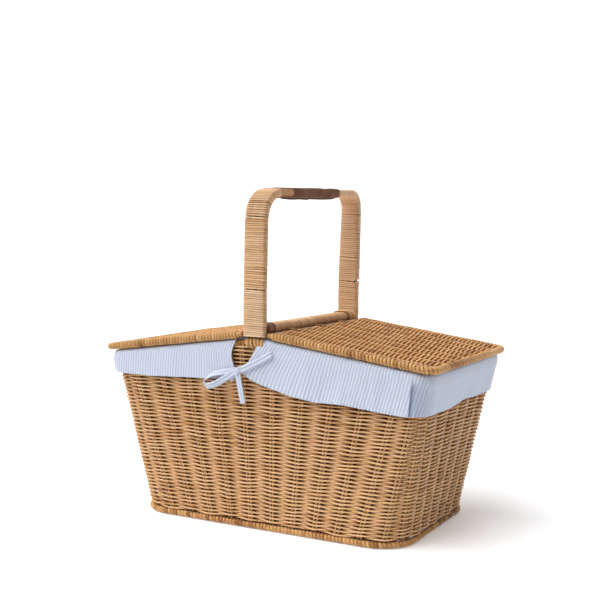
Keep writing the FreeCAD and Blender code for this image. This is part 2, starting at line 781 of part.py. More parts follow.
def make_grip_lacing():
    """Cross stitches that close the leather along the underside of the grip."""
    count = int(dim("lacing_count"))
    radius = dim("lacing_radius")
    z = dim("handle_top_z") - dim("grip_thickness") / 2 - radius - dim("fit_gap")
    half_width = dim("lacing_half_width")
    low, high = dim("keeper_back_y") + dim("lacing_margin"), dim("grip_back_y") - dim("lacing_margin")
    step = (high - low) / count
    stitches = []
    for index in range(count):
        start = Vector(-half_width, low + index * step, z)
        slant = Vector(2 * half_width, step - dim("lacing_gap"), 0)
        stitches.append(Part.makeCylinder(radius, slant.Length, start, slant))
    lacing = turned(Part.makeCompound(stitches), Vector(0, 0, dim("handle_top_z")),
                    Vector(1, 0, 0), dim("handle_rise"))
    keep(feature("grip_lacing", leaned(lacing)), "grip_lacing")


def make_handle_feet():
    """The flared cane binding round each leg's foot and the turns that lash it to the rim."""
    gap = dim("fit_gap")
    y = dim("handle_y")
    thickness = dim("handle_thickness")
    low_z, high_z = dim("handle_foot_z"), dim("binding_top_z")
    for side, word in ((FRONT, "front"), (BACK, "back")):
        wires = []
        neck = dim("handle_width") / 2 + dim("binding_top_thickness")
        depth = thickness / 2 + dim("binding_side_thickness")
        for z, half in ((low_z, dim("binding_foot_half_width")), (high_z, neck)):
            corners = [Vector(-half, side * y - depth, z), Vector(half, side * y - depth, z),
                       Vector(half, side * y + depth, z), Vector(-half, side * y + depth, z)]
            wires.append(Part.makePolygon(corners + corners[:1]))
        flared = Part.makeLoft(wires, True, True)
        leg = Part.makeBox(dim("handle_width") + 2 * gap, thickness + 2 * gap, FAR,
                           Vector(-dim("handle_width") / 2 - gap,
                                  side * y - thickness / 2 - gap, 0))
        name = f"handle_binding_{word}"
        keep(feature(name, flared.cut(leaned(leg))), name)

        inner = dim("lashing_inner_y")
        tail_y, tail_z = dim("lashing_tail_y"), dim("lashing_tail_z")
        open_side = Part.makeBox(2 * FAR, 2 * inner, FAR, Vector(-FAR, -inner, 0))
        open_side = open_side.fuse(Part.makeBox(2 * FAR, 2 * tail_y, tail_z,
                                                Vector(-FAR, -tail_y, 0)))
        turns = []
        count = int(dim("lashing_count"))
        radius = dim("lashing_radius")
        ring_radius = dim("border_radius") + gap + radius
        for index in range(count):
            x = (index - (count - 1) / 2) * dim("lashing_pitch")
            centre = Vector(x, side * dim("rim_half_width"),
                            dim("rim_peak_z") - math.tan(ROOF) * abs(x))
            ring = Part.makeTorus(ring_radius, radius, centre, Vector(1, 0, 0))
            turns.append(ring.cut(open_side))
        name = f"handle_lashing_{word}"
        keep(feature(name, Part.makeCompound(turns)), name)


# ---------------------------------------------------------------- cloth liner
def make_liner():
    bag_outset = -size("side_thickness") - size("bag_gap")
    cloth = size("cloth_thickness")
    outer = tapered_block("bag_outer", bag_outset)
    inner = tapered_block("bag_inner", bag_outset - cloth)
    floor_z = dim("bag_floor_z")
    hollow_floor = box("bag_hollow_floor", (-FAR, -FAR, -FAR),
                       (FAR, FAR, floor_z + cloth.value))
    hollow = cut("bag_hollow", inner, hollow_floor)
    below = box("bag_below", (-FAR, -FAR, -FAR), (FAR, FAR, floor_z))
    roof = above_gable("bag_roof", dim("rim_peak_z"))
    bag = cut("bag_walls", outer, fuse("bag_limits", [below, roof]))
    keep(cut("liner_bag", bag, hollow), "liner_bag")

    face = size("collar_gap")
    high = dim("rim_peak_z") + dim("collar_rise")
    for side, word in ((LEFT, "left"), (RIGHT, "right")):
        name = f"liner_collar_{word}"
        outside = tapered_block(name + "_outer", face + cloth)
        inside = tapered_block(name + "_inner", face)
        shell = cut(name + "_shell", outside, inside)
        bottom = dim(f"{word}_collar_bottom_z")
        edge = dim(f"{word}_collar_edge_x")
        limits = [above_gable(name + "_roof", high),
                  box(name + "_below", (-FAR, -FAR, -FAR), (FAR, FAR, bottom))]
        if side == LEFT:
            limits.append(box(name + "_beyond", (edge, -FAR, -FAR), (FAR, FAR, FAR)))
        else:
            limits.append(box(name + "_beyond", (-FAR, -FAR, -FAR), (edge, FAR, FAR)))
            slit = (dim("rim_slit_edge_x"), FAR, FAR)
            limits.append(box(name + "_slit", (-FAR, -FAR, dim("rim_slit_z")), slit))
            fall = Rotation(Vector(0, 1, 0), dim("right_hem_angle"))
            hem_z = dim("tie_knot_z") - dim("right_hem_drop")
            hem_end = (dim("right_hem_length"), FAR, 0)
            hem = Placement(Vector(edge, 0, hem_z), fall)
            limits.append(box(name + "_hem", (-hem_z, -FAR, -hem_z), hem_end, hem))
        keep(cut(name, shell, fuse(name + "_limits", limits)), name)


def strap(points, y_face, side):
    """A flat strap along points (x, z) just outside the collar."""
    width, thickness = dim("tie_width"), dim("tie_thickness")
    blocks = []
    for (x0, z0), (x1, z1) in zip(points, points[1:]):
        along = Vector(x1 - x0, 0, z1 - z0)
        block = Part.makeBox(along.Length + width / 2, thickness, width,
                             Vector(-width / 4, 0, -width / 2))
        slope = math.degrees(math.atan2(along.z, along.x))
        low_y = y_face - thickness if side == FRONT else -y_face
        block.Placement = Placement(Vector(x0, low_y, z0), Rotation(Vector(0, 1, 0), -slope))
        blocks.append(block)
    whole = blocks[0]
    for block in blocks[1:]:
        whole = whole.fuse(block)
    return whole.removeSplitter()


def make_ties():
    """Sewn tapes tied in a bow at the slit below each of the handle's legs."""
    x, z = dim("tie_knot_x"), dim("tie_knot_z")
    face = -(dim("body_top_y") + dim("collar_gap") + dim("cloth_thickness") + dim("tie_gap"))
    loop = [(x - 5, z), (x - 24, z - 3), (x - 42, z - 10), (x - 30, z - 17), (x - 8, z - 7)]
    tail = [(x + 2, z - 4), (x + 9, z - 40)]
    strip = [(x - 3, z - 2), (x + 48, z + 25)]
    for side, word in ((FRONT, "front"), (BACK, "back")):
        layer = face - dim("tie_thickness") - dim("fit_gap")
        left = strap(loop, face, side).fuse(strap(tail, face, side))
        joined = strap([loop[-1], tail[0]], face, side)
        name = f"tie_{word}_left"
        keep(feature(name, left.fuse(joined).removeSplitter()), name)
        name = f"tie_{word}_right"
        keep(feature(name, strap(strip, layer, side)), name)


# ---------------------------------------------------------------- build and write
make_foot()
make_base()
make_side()
make_rim()
make_lid(LEFT, "left")
make_lid(RIGHT, "right")
make_crossbar()
make_hinge_loops(LEFT, "left")
make_hinge_loops(RIGHT, "right")
make_handle()
make_grip_lacing()
make_handle_feet()
make_liner()
make_ties()
doc.recompute()

failed = [item.Name for item in doc.Objects
          if "Invalid" in item.State or "Error" in item.State]
if failed:
    raise RuntimeError("features failed: " + ", ".join(failed))
for piece in subparts:
    if piece.Shape.isNull() or not piece.Shape.isValid():
        raise RuntimeError("bad shape: " + piece.Label)
    if not piece.Shape.Solids:
        raise RuntimeError("no solid: " + piece.Label)
for piece in subparts:
    piece.Shape.exportStep(f"parts/{piece.Label}.step")
    print(f"{piece.Label:26s} solids {len(piece.Shape.Solids):3d}"
          f"  volume {piece.Shape.Volume / 1000:9.2f} cm3")
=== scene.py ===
"""Looks of the woven picnic basket: cane strands, cloth liner, bows, leather grip and studio.

Lengths below are in millimetres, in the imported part's frame: +X along the basket, +Y to its
back, +Z up, with the origin on the ground under its middle.
"""

import math

import bpy
import numpy as np
from mathutils import Matrix, Vector


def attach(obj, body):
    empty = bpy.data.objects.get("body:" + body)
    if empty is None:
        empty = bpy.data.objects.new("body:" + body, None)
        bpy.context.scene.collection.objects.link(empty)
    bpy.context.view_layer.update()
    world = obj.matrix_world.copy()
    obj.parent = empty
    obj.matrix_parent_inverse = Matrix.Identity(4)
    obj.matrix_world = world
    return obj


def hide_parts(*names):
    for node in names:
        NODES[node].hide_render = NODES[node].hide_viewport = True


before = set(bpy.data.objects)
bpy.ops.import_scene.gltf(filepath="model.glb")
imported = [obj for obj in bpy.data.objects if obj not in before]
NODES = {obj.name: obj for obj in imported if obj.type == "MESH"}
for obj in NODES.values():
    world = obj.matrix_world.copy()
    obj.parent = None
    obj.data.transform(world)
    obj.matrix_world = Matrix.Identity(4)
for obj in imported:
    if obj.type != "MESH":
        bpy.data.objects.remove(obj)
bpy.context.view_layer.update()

MM = 0.001
random = np.random.default_rng(20)

# ---------------------------------------------------------------- sizes repeated from the part
PEAK_Z = 236.0
ROOF_ANGLE = math.radians(7.68)
ROOF_SLOPE = math.tan(ROOF_ANGLE)
# outlines: half length, half width and corner radius
BODY_LOW = (188.5, 116.5, 48.0)
BODY_TOP = (231.0, 129.0, 18.0)
RIM = (222.0, 125.0, 18.0)
FOOT = (187.6, 115.1, 44.0)
FOOT_Z = 4.2
SIDE_BOTTOM = 9.0
# from the woven wall's outer face in to its middle
MID_INSET = 3.5
BORDER_RADIUS = 4.6
STAKE_RADIUS, STAKE_HALF_GAP = 1.5, 2.1
HINGE_X, HINGE_Z = 20.0, 244.3
LOOP_PITCH = 67.2
LID_LENGTH, LID_HALF_WIDTH, LID_CORNER = 212.0, 129.0, 15.0
LID_PAIRS, LID_PAIR_PITCH = 8, 33.6
HANDLE_Y, HANDLE_FOOT, HANDLE_TOP = 129.0, 243.9, 420.0
HANDLE_BENDS = (35.0, 23.4)
HANDLE_RISE, HANDLE_LEAN = math.radians(1.6), math.radians(1.0)
HANDLE_HALF = (14.0, 4.9)
GRIP_HALF = (14.7, 6.2)
GRIP_FRONT, GRIP_BACK = -97.0, 62.0
KEEPER_FRONT, KEEPER_BACK = -95.0, -62.0
CROSSBAR_Z, CROSSBAR_HALF, CROSSBAR_REACH = 250.0, (12.0, 6.5), 122.2


# ---------------------------------------------------------------- small mathematics
def unit(vectors):
    length = np.linalg.norm(vectors, axis=-1, keepdims=True)
    return vectors / np.maximum(length, 1e-12)


def tangents(path, closed):
    if closed:
        return unit(np.roll(path, -1, axis=0) - np.roll(path, 1, axis=0))
    return unit(np.gradient(path, axis=0))


def arc_lengths(path):
    steps = np.linalg.norm(np.diff(path, axis=0), axis=1)
    return np.concatenate([[0.0], np.cumsum(steps)])


def resample(path, places):
    """Points of a polyline at these arc lengths."""
    lengths = arc_lengths(path)
    return np.stack([np.interp(places, lengths, path[:, axis]) for axis in range(3)], axis=1)


def looped(path):
    """A closed path with its first point again at its end."""
    return np.vstack([path, path[:1]])


def smooth_path(points, count):
    """A smooth curve through a few points, as count points evenly apart."""
    points = np.asarray(points, float)
    ends = [2 * points[0] - points[1], 2 * points[-1] - points[-2]]
    knots = np.vstack([ends[0], points, ends[1]])
    steps = np.linspace(0, 1, 24, endpoint=False)[:, None]
    parts = []
    for index in range(len(points) - 1):
        a, b, c, d = knots[index:index + 4]
        parts.append(0.5 * (2 * b + (c - a) * steps + (2 * a - 5 * b + 4 * c - d) * steps ** 2
                            + (3 * b - a - 3 * c + d) * steps ** 3))
    parts.append(points[-1:])
    curve = np.vstack(parts)
    return resample(curve, np.linspace(0, arc_lengths(curve)[-1], count))


def waves(x, y, seed, count=6):
    """Smooth noise of about unit size from a few sine waves; x and y are in wavelengths."""
    source = np.random.default_rng(seed)
    total = 0
    for _ in range(count):
        direction = source.uniform(0, 2 * math.pi)
        pitch = source.uniform(0.6, 1.6)
        phase = source.uniform(0, 2 * math.pi)
        along = x * math.cos(direction) + y * math.sin(direction)
        total = total + np.sin(2 * math.pi * pitch * along + phase)
    return total / math.sqrt(count / 2)


def blend_step(low, high, values):
    """0 up to low and 1 from high on, with a smooth rise between them."""
    t = np.clip((values - low) / (high - low), 0, 1)
    return t * t * (3 - 2 * t)


# ---------------------------------------------------------------- meshes
def mesh_object(name, points, quads, attributes=()):
    """An object of quads with smooth faces; attributes are (name, kind, values per point)."""
    mesh = bpy.data.meshes.new(name)
    mesh.vertices.add(len(points))
    mesh.vertices.foreach_set("co", np.asarray(points * MM, np.float32).ravel())
    mesh.loops.add(quads.size)
    mesh.loops.foreach_set("vertex_index", quads.astype(np.int32).ravel())
    mesh.polygons.add(len(quads))
    mesh.polygons.foreach_set("loop_start", np.arange(0, quads.size, 4, dtype=np.int32))
    mesh.polygons.foreach_set("loop_total", np.full(len(quads), 4, np.int32))
    mesh.polygons.foreach_set("use_smooth", np.ones(len(quads), bool))
    for key, kind, values in attributes:
        layer = mesh.attributes.new(key, kind, "POINT")
        field = "vector" if kind == "FLOAT_VECTOR" else "value"
        layer.data.foreach_set(field, np.asarray(values, np.float32).ravel())
    mesh.update(calc_edges=True)
    piece = bpy.data.objects.new(name, mesh)
    bpy.context.scene.collection.objects.link(piece)
    return piece


def grid_quads(rows, columns, wrap_columns=False, wrap_rows=False):
    """Quads of a grid of points numbered row by row."""
    row = np.arange(rows if wrap_rows else rows - 1)
    column = np.arange(columns if wrap_columns else columns - 1)
    r, c = np.meshgrid(row, column, indexing="ij")
    r2, c2 = (r + 1) % rows, (c + 1) % columns
    quads = np.stack([r * columns + c, r * columns + c2, r2 * columns + c2, r2 * columns + c],
                     axis=-1)
    return quads.reshape(-1, 4)


class Strands:
    """Many cane strands gathered into one mesh, each with its own tone, shade and grain."""

    def __init__(self, sides=6):
        self.sides = sides
        self.points, self.quads, self.tones, self.shades, self.grains = [], [], [], [], []
        self.count = 0

    def add(self, path, across, half_width, half_height, tone, closed=False, shade=0.0):
        """path (n, 3); across is the direction of the section's width at each point.

        shade is painted shade: 1 where the cane lies deep between other strands and is drawn darker.
        """
        path = np.asarray(path, float)
        number = len(path)
        along = tangents(path, closed)
        across = np.broadcast_to(np.asarray(across, float), path.shape)
        across = unit(across - along * (across * along).sum(1, keepdims=True))
        normal = np.cross(along, across)
        angle = np.arange(self.sides) * (2 * math.pi / self.sides)
        width = np.broadcast_to(half_width, (number,))[:, None, None]
        height = np.broadcast_to(half_height, (number,))[:, None, None]
        ring = (path[:, None, :]
                + across[:, None, :] * (np.cos(angle)[None, :, None] * width)
                + normal[:, None, :] * (np.sin(angle)[None, :, None] * height))
        quads = grid_quads(number, self.sides, wrap_columns=True, wrap_rows=closed)
        if not closed:
            half = self.sides // 2
            cap = [(i, i + 1, self.sides - 2 - i, self.sides - 1 - i) for i in range(half - 1)]
            end = [tuple(reversed([k + (number - 1) * self.sides for k in q])) for q in cap]
            quads = np.vstack([quads, np.array(cap), np.array(end)])
        self.points.append(ring.reshape(-1, 3))
        self.quads.append(quads + self.count)
        self.count += number * self.sides
        tone = np.broadcast_to(np.asarray(tone, float), (number,))
        self.tones.append(np.repeat(tone, self.sides))
        shade = np.broadcast_to(np.asarray(shade, float), (number,))
        self.shades.append(np.repeat(shade, self.sides))
        start = random.uniform(0, 4000)
        run = arc_lengths(path) + start
        grain = np.zeros((number, self.sides, 3))
        grain[..., 0] = run[:, None]
        grain[..., 1] = np.cos(angle)[None, :] * width[:, :, 0]
        grain[..., 2] = np.sin(angle)[None, :] * height[:, :, 0]
        self.grains.append(grain.reshape(-1, 3))

    def build(self, name, material, body, slot, *nodes):
        points, quads = np.vstack(self.points), np.vstack(self.quads)
        attributes = [("tone", "FLOAT", np.concatenate(self.tones)),
                      ("shade", "FLOAT", np.concatenate(self.shades)),
                      ("grain", "FLOAT_VECTOR", np.vstack(self.grains))]
        return place(mesh_object(name, points, quads, attributes), material, body, slot, *nodes)


def place(piece, material, body, slot, *nodes):
    """Give a piece its material and body, and let it stand for these CAD nodes."""
    piece.data.materials.append(material)
    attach(piece, body)
    if nodes:
        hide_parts(*nodes)
    return piece


def repaint(material, *nodes):
    """Give this material to CAD nodes that stay in view."""
    for node in nodes:
        NODES[node].data.materials.clear()
        NODES[node].data.materials.append(material)


def chunk_tones(run, chunk, spread, middle=0.5):
    """A tone along one strand that changes where one piece of cane follows another."""
    total = run[-1] + 1e-6
    count = max(1, int(round(total / chunk)))
    values = np.clip(random.normal(middle, spread, count), 0.02, 0.98)
    edges = np.sort(random.uniform(0, total, count - 1))
    index = np.searchsorted(edges, run)
    drift = 0.06 * np.sin(run / random.uniform(40, 90) + random.uniform(0, 6))
    return np.clip(values[index] + drift, 0, 1)


# ---------------------------------------------------------------- material tools
class Graph:
    """A short way to write a material's nodes."""

    def __init__(self, name):
        self.material = bpy.data.materials.new(name)
        self.material.use_nodes = True
        self.tree = self.material.node_tree
        self.tree.nodes.clear()
        self.output = self.node("ShaderNodeOutputMaterial")
        self.shader = self.node("ShaderNodeBsdfPrincipled")
        self.link(self.shader.outputs["BSDF"], self.output.inputs["Surface"])

    def node(self, kind, **settings):
        made = self.tree.nodes.new(kind)
        for key, value in settings.items():
            setattr(made, key, value)
        return made

    def link(self, source, target):
        self.tree.links.new(source, target)

    def feed(self, socket, value):
        """Set a socket to a constant, or link it."""
        if isinstance(value, bpy.types.NodeSocket):
            self.link(value, socket)
        else:
            socket.default_value = value

    def surface(self, settings):
        """Feed sockets of the shader, by their names."""
        for name, value in settings.items():
            self.feed(self.shader.inputs[name], value)

    def attribute(self, name, output="Fac"):
        return self.node("ShaderNodeAttribute", attribute_name=name).outputs[output]

    def position(self):
        """Each CAD node and piece lies in the part's frame, so its own coordinates serve."""
        return self.node("ShaderNodeTexCoord").outputs["Object"]

    def mapping(self, vector, scale, location=(0, 0, 0)):
        made = self.node("ShaderNodeMapping")
        self.link(vector, made.inputs["Vector"])
        made.inputs["Scale"].default_value = scale
        made.inputs["Location"].default_value = location
        return made.outputs["Vector"]

    def parts(self, vector):
        made = self.node("ShaderNodeSeparateXYZ")
        self.link(vector, made.inputs["Vector"])
        return made.outputs

    def noise(self, vector, scale, detail=3.0, roughness=0.55, location=(0, 0, 0)):
        """Noise with its own scale along each axis."""
        made = self.node("ShaderNodeTexNoise")
        self.link(self.mapping(vector, scale, location), made.inputs["Vector"])
        made.inputs["Scale"].default_value = 1.0
        made.inputs["Detail"].default_value = detail
        made.inputs["Roughness"].default_value = roughness
        return made.outputs["Fac"]

    def ramp(self, factor, stops):
        """stops are (position, colour or grey)."""
        made = self.node("ShaderNodeValToRGB")
        elements = made.color_ramp.elements
        while len(elements) < len(stops):
            elements.new(0.5)
        for element, (where, colour) in zip(elements, stops):
            element.position = where
            if not isinstance(colour, tuple):
                colour = (colour, colour, colour)
            element.color = (*colour, 1)
        self.link(factor, made.inputs["Fac"])
        return made.outputs["Color"]

    def range(self, value, low, high, new_low, new_high):
        made = self.node("ShaderNodeMapRange")
        self.link(value, made.inputs["Value"])
        for key, number in (("From Min", low), ("From Max", high),
                            ("To Min", new_low), ("To Max", new_high)):
            made.inputs[key].default_value = number
        return made.outputs["Result"]

    def math(self, operation, first, second=0.0):
        made = self.node("ShaderNodeMath", operation=operation)
        self.feed(made.inputs[0], first)
        self.feed(made.inputs[1], second)
        return made.outputs["Value"]

    def mix(self, kind, factor, first, second):
        made = self.node("ShaderNodeMix", data_type="RGBA", blend_type=kind)
        self.feed(made.inputs["Factor"], factor)
        self.feed(made.inputs[6], first)
        self.feed(made.inputs[7], second)
        return made.outputs[2]

    def multiply(self, first, second, factor=1.0):
        return self.mix("MULTIPLY", factor, first, second)

    def bump(self, height, strength, distance, normal=None):
        made = self.node("ShaderNodeBump")
        made.inputs["Strength"].default_value = strength
        made.inputs["Distance"].default_value = distance
        self.link(height, made.inputs["Height"])
        if normal is not None:
            self.link(normal, made.inputs["Normal"])
        return made.outputs["Normal"]


def colour(red, green, blue):
    """A colour written as it looks on a screen, 0 to 255, as linear light."""
    def linear(level):
        level = level / 255
        return level / 12.92 if level <= 0.04045 else ((level + 0.055) / 1.055) ** 2.4
    return (linear(red), linear(green), linear(blue))


def tints(*stops):
    """A ramp's stops, each a place on it and a colour as it looks on a screen."""
    return [(where, colour(*levels)) for where, *levels in stops]


# painted shade: cane that lies deep between other strands is multiplied by this colour
PAINTED_HOLLOW_SHADE = (0.24, 0.13, 0.07)
# painted shade: the edges of a wrap's strands, in the grooves between turns, are multiplied by this
# colour
PAINTED_GROOVE_SHADE = (0.36, 0.24, 0.16)
WEAVER_TINTS = tints((0.0, 170, 116, 63), (0.25, 206, 154, 100), (0.45, 226, 178, 127),
                     (0.65, 233, 186, 139), (0.82, 220, 180, 117), (1.0, 240, 202, 161))
# painted light: the lid cane's tints are lighter and warmer than the wall's, to brighten the lids' tops
LIT_LID_TINTS = tints((0.0, 171, 113, 59), (0.3, 219, 159, 95), (0.55, 239, 180, 117),
                  (0.8, 230, 180, 110), (1.0, 250, 199, 142))
BORDER_TINTS = tints((0.0, 144, 94, 50), (0.3, 193, 142, 85), (0.6, 216, 166, 109),
                     (0.85, 209, 163, 97), (1.0, 230, 185, 135))
HANDLE_TINTS = tints((0.0, 172, 120, 72), (0.3, 216, 166, 113), (0.6, 234, 188, 140),
                     (1.0, 246, 208, 168))
PALE_TINTS = tints((0.0, 192, 154, 110), (0.3, 224, 184, 142), (0.6, 240, 202, 160),
                   (1.0, 250, 216, 178))
BINDING_TINTS = tints((0.0, 103, 62, 34), (0.4, 139, 89, 49), (1.0, 194, 140, 86))
ROD_TINTS = tints((0.3, 148, 98, 52), (0.5, 184, 130, 76), (0.7, 204, 151, 95))
LEATHER_TINTS = tints((0.3, 98, 60, 38), (0.55, 122, 78, 52), (0.75, 138, 92, 64))
# tan of the keeper's tongue: partly its own tan colour, partly a painted highlight of its lit upper
# edge
TAN_AND_HIGHLIGHT = colour(206, 156, 110)
THREAD_TINTS = tints((0.3, 46, 32, 26), (0.7, 92, 68, 52))
STRIPE_TINTS = tints((0.0, 180, 190, 211), (0.42, 200, 208, 225), (0.75, 214, 221, 236))
STRIPE_PERIOD, THREAD_PERIOD = 4.05, 0.55
# painted shade: cloth deep in a sharp fold is multiplied by this colour
PAINTED_FOLD_SHADE = (0.24, 0.32, 0.50)


def cane_material(name, colours, specks=0.35, groove_shade=None):
    """Cane: a tint for each strand, streaks along it, darker specks, painted shade where it lies deep
    between strands and a satin skin.

    groove_shade is where painted shade at its edges begins and ends, from the strand's middle line; it
    stands for the grooves between turns.
    """
    g = Graph(name)
    grain = g.attribute("grain", "Vector")
    patch = g.noise(g.position(), (9, 9, 9), 2.0)
    streak = g.noise(grain, (0.022, 0.9, 0.9), 4.0, 0.6)
    blotch = g.noise(grain, (0.07, 0.35, 0.35), location=(7, 3, 1))
    fibre = g.noise(grain, (0.12, 5.5, 5.5), 3.0, 0.6)
    speck = g.noise(grain, (0.32, 0.7, 0.7), 2.0, location=(2, 9, 5))
    depth = g.attribute("shade")
    tone = g.math("ADD", g.attribute("tone"), g.range(patch, 0.3, 0.7, -0.10, 0.10))
    tone = g.math("ADD", tone, g.range(blotch, 0.3, 0.7, -0.16, 0.16))
    skin = g.multiply(g.ramp(tone, colours), g.ramp(streak, [(0.25, 0.80), (0.5, 0.97), (0.8, 1.0)]))
    skin = g.multiply(skin, g.ramp(fibre, [(0.3, 0.78), (0.6, 1.0)]), 0.55)
    skin = g.multiply(skin, g.ramp(speck, [(0.0, 1.0), (0.66, 1.0), (0.74, 1 - specks),
                                           (1.0, 1 - specks)]))
    # painted shade: the shade attribute darkens cane where it lies deep between strands
    skin = g.multiply(skin, g.ramp(depth, [(0.0, 1.0), (1.0, PAINTED_HOLLOW_SHADE)]))
    # painted shade: the strand is drawn darker towards its edges, where the grooves between turns lie
    if groove_shade:
        edge = g.range(g.math("ABSOLUTE", g.parts(grain)["Y"]), *groove_shade, 0.0, 1.0)
        skin = g.multiply(skin, g.ramp(edge, [(0.0, 1.0), (1.0, PAINTED_GROOVE_SHADE)]))
    # painted shade also takes the gloss off cane that lies deep
    g.surface({"Base Color": skin, "Roughness": g.range(fibre, 0.3, 0.7, 0.42, 0.62),
               "Specular IOR Level": g.range(depth, 0.0, 0.7, 0.30, 0.0),
               "Normal": g.bump(fibre, 0.35, 0.0002)})
    return g.material


def rod_material(name, long_axis):
    """Round rods of the CAD: the same cane, with its grain along one axis of the frame."""
    g = Graph(name)
    scale = [900.0, 900.0, 900.0]
    scale[long_axis] = 40.0
    fine = g.noise(g.position(), tuple(scale), 3.0, 0.6)
    base = g.ramp(g.noise(g.position(), (26, 26, 26), 2.0), ROD_TINTS)
    g.surface({"Base Color": g.multiply(base, g.ramp(fine, [(0.3, 0.72), (0.65, 1.0)]), 0.7),
               "Roughness": g.range(fine, 0.3, 0.7, 0.45, 0.65),
               "Normal": g.bump(fine, 0.3, 0.0002)})
    return g.material


def cloth_material(name, stripe_depth):
    """Cotton with narrow woven blue and white stripes that pucker slightly, drawn darker by painted
    shade where crease_shade is set.
    """
    g = Graph(name)
    cloth = g.attribute("cloth", "Vector")
    across, along = g.parts(cloth)["X"], g.parts(cloth)["Y"]
    wobble = g.noise(cloth, (0.02, 0.012, 1), 2.0)
    swayed = g.math("ADD", across, g.range(wobble, 0.3, 0.7, -0.5, 0.5))
    wave = g.math("SINE", g.math("MULTIPLY", swayed, 2 * math.pi / STRIPE_PERIOD))
    level = g.range(wave, -1.0, 1.0, 0.0, 1.0)
    weave = g.math("MULTIPLY", *[
        g.math("SINE", g.math("MULTIPLY", way, 2 * math.pi / THREAD_PERIOD))
        for way in (across, along)])
    slub = g.noise(cloth, (2.2, 0.25, 1))
    tone = g.multiply(g.ramp(level, STRIPE_TINTS), g.ramp(slub, [(0.25, 0.90), (0.6, 1.0)]))
    puckered = g.bump(level, stripe_depth, 0.0006)
    creased = g.bump(g.noise(cloth, (0.20, 0.10, 1), 4.0), 0.35, 0.0012, puckered)
    # painted shade: the cloth is drawn darker where crease_shade is set
    g.surface({"Base Color": g.multiply(tone, (*PAINTED_FOLD_SHADE, 1), g.attribute("crease_shade")),
               "Roughness": 0.92, "Specular IOR Level": 0.2,
               "Sheen Weight": 0.25, "Sheen Roughness": 0.5,
               "Normal": g.bump(weave, 0.15, 0.0001, creased)})
    return g.material


def leather_material(name):
    """Creased brown leather with pores; the tan_and_highlight attribute turns it to a tan, partly its
    own colour and partly a painted highlight.
    """
    g = Graph(name)
    where = g.position()
    pores = g.node("ShaderNodeTexVoronoi", feature="F1")
    g.link(g.mapping(where, (620, 620, 620)), pores.inputs["Vector"])
    pores.inputs["Scale"].default_value = 1.0
    creases = g.noise(where, (160, 320, 160), 4.0)
    base = g.ramp(g.noise(where, (45, 45, 45)), LEATHER_TINTS)
    edged = g.mix("MIX", g.attribute("tan_and_highlight"), base, (*TAN_AND_HIGHLIGHT, 1))
    g.surface({"Base Color": g.multiply(edged, g.ramp(creases, [(0.3, 0.75), (0.6, 1.0)]), 0.6),
               "Roughness": g.range(creases, 0.3, 0.7, 0.52, 0.70),
               "Specular IOR Level": 0.12,
               "Normal": g.bump(creases, 0.3, 0.0003, g.bump(pores.outputs["Distance"], 0.25, 0.0002))})
    return g.material


def thread_material(name):
    """Twisted dark thread."""
    g = Graph(name)
    twist = g.noise(g.position(), (1200, 2400, 1200), 2.0)
    g.surface({"Base Color": g.ramp(twist, THREAD_TINTS), "Roughness": 0.7,
               "Normal": g.bump(twist, 0.5, 0.0002)})
    return g.material


weaver_cane = cane_material("weaver cane", WEAVER_TINTS)
lid_cane = cane_material("lid cane", LIT_LID_TINTS)
border_cane = cane_material("border cane", BORDER_TINTS, 0.45)
# these get painted shade in the grooves between their turns
handle_cane = cane_material("handle cane", HANDLE_TINTS, 0.25, (0.95, 1.25))
pale_cane = cane_material("pale handle cane", PALE_TINTS, 0.25, (0.95, 1.25))
binding_cane = cane_material("binding cane", BINDING_TINTS, 0.4)
rod_along_x = rod_material("rods along the basket", 0)
rod_along_y = rod_material("rods across the basket", 1)
liner_cloth = cloth_material("striped cotton", 0.5)
tie_cloth = cloth_material("striped tape", 0.4)
leather = leather_material("brown leather")
thread = thread_material("waxed thread")


# ---------------------------------------------------------------- outline of the basket
def ring_point(param, half_x, half_y, corner):
    """Points and outward directions of a rounded rectangle.

    param counts its eight parts anticlockwise: the front side, a corner, the right side and so on.
    """
    part = np.floor(param).astype(int) % 8
    share = param - np.floor(param)
    start = np.radians(-90 + 90 * (part // 2))
    out = np.stack([np.cos(start), np.sin(start)], axis=-1)
    along = np.stack([-np.sin(start), np.cos(start)], axis=-1)
    on_long_side = part % 4 < 2
    distance = np.where(on_long_side, half_y, half_x)[..., None]
    flat = (np.where(on_long_side, half_x, half_y) - corner)[..., None]
    side = out * distance + along * flat * (2 * share - 1)[..., None]
    angle = start + np.radians(90 * share)
    arc_out = np.stack([np.cos(angle), np.sin(angle)], axis=-1)
    arc = out * (distance - corner) + along * flat + arc_out * corner
    straight = (part % 2 == 0)[..., None]
    return np.where(straight, side, arc), np.where(straight, out, arc_out)


def side_surface(param, z, outset):
    """Points on the basket's outer face moved outwards, and the outward directions."""
    low, out = ring_point(param, *BODY_LOW)
    top, _ = ring_point(param, *BODY_TOP)
    share = np.asarray(z / PEAK_Z)[..., None]
    flat = low * (1 - share) + top * share + out * np.asarray(outset)[..., None]
    point = np.concatenate([flat, np.broadcast_to(np.asarray(z)[..., None],
                                                  flat.shape[:-1] + (1,))], axis=-1)
    return point, np.concatenate([out, np.zeros(out.shape[:-1] + (1,))], axis=-1)


def gable_z(x):
    """The height of the rim's middle line over a place along the basket."""
    return PEAK_Z - ROOF_SLOPE * np.abs(x)


def pair_params():
    """Where the pairs of stakes stand round the outline."""
    def spread(count, share):
        return (share * (2 * np.arange(count) / (count - 1) - 1) + 1) / 2

    long_side, corner, short_side = spread(10, 0.94), np.array([1 / 3, 2 / 3]), spread(6, 0.93)
    parts = (long_side, corner, short_side, corner) * 2
    return np.concatenate([index + share for index, share in enumerate(parts)])


PAIRS = pair_params()


# ---------------------------------------------------------------- woven side
ROW_PITCH = 2.38
WEAVER_RADIUS = 1.19
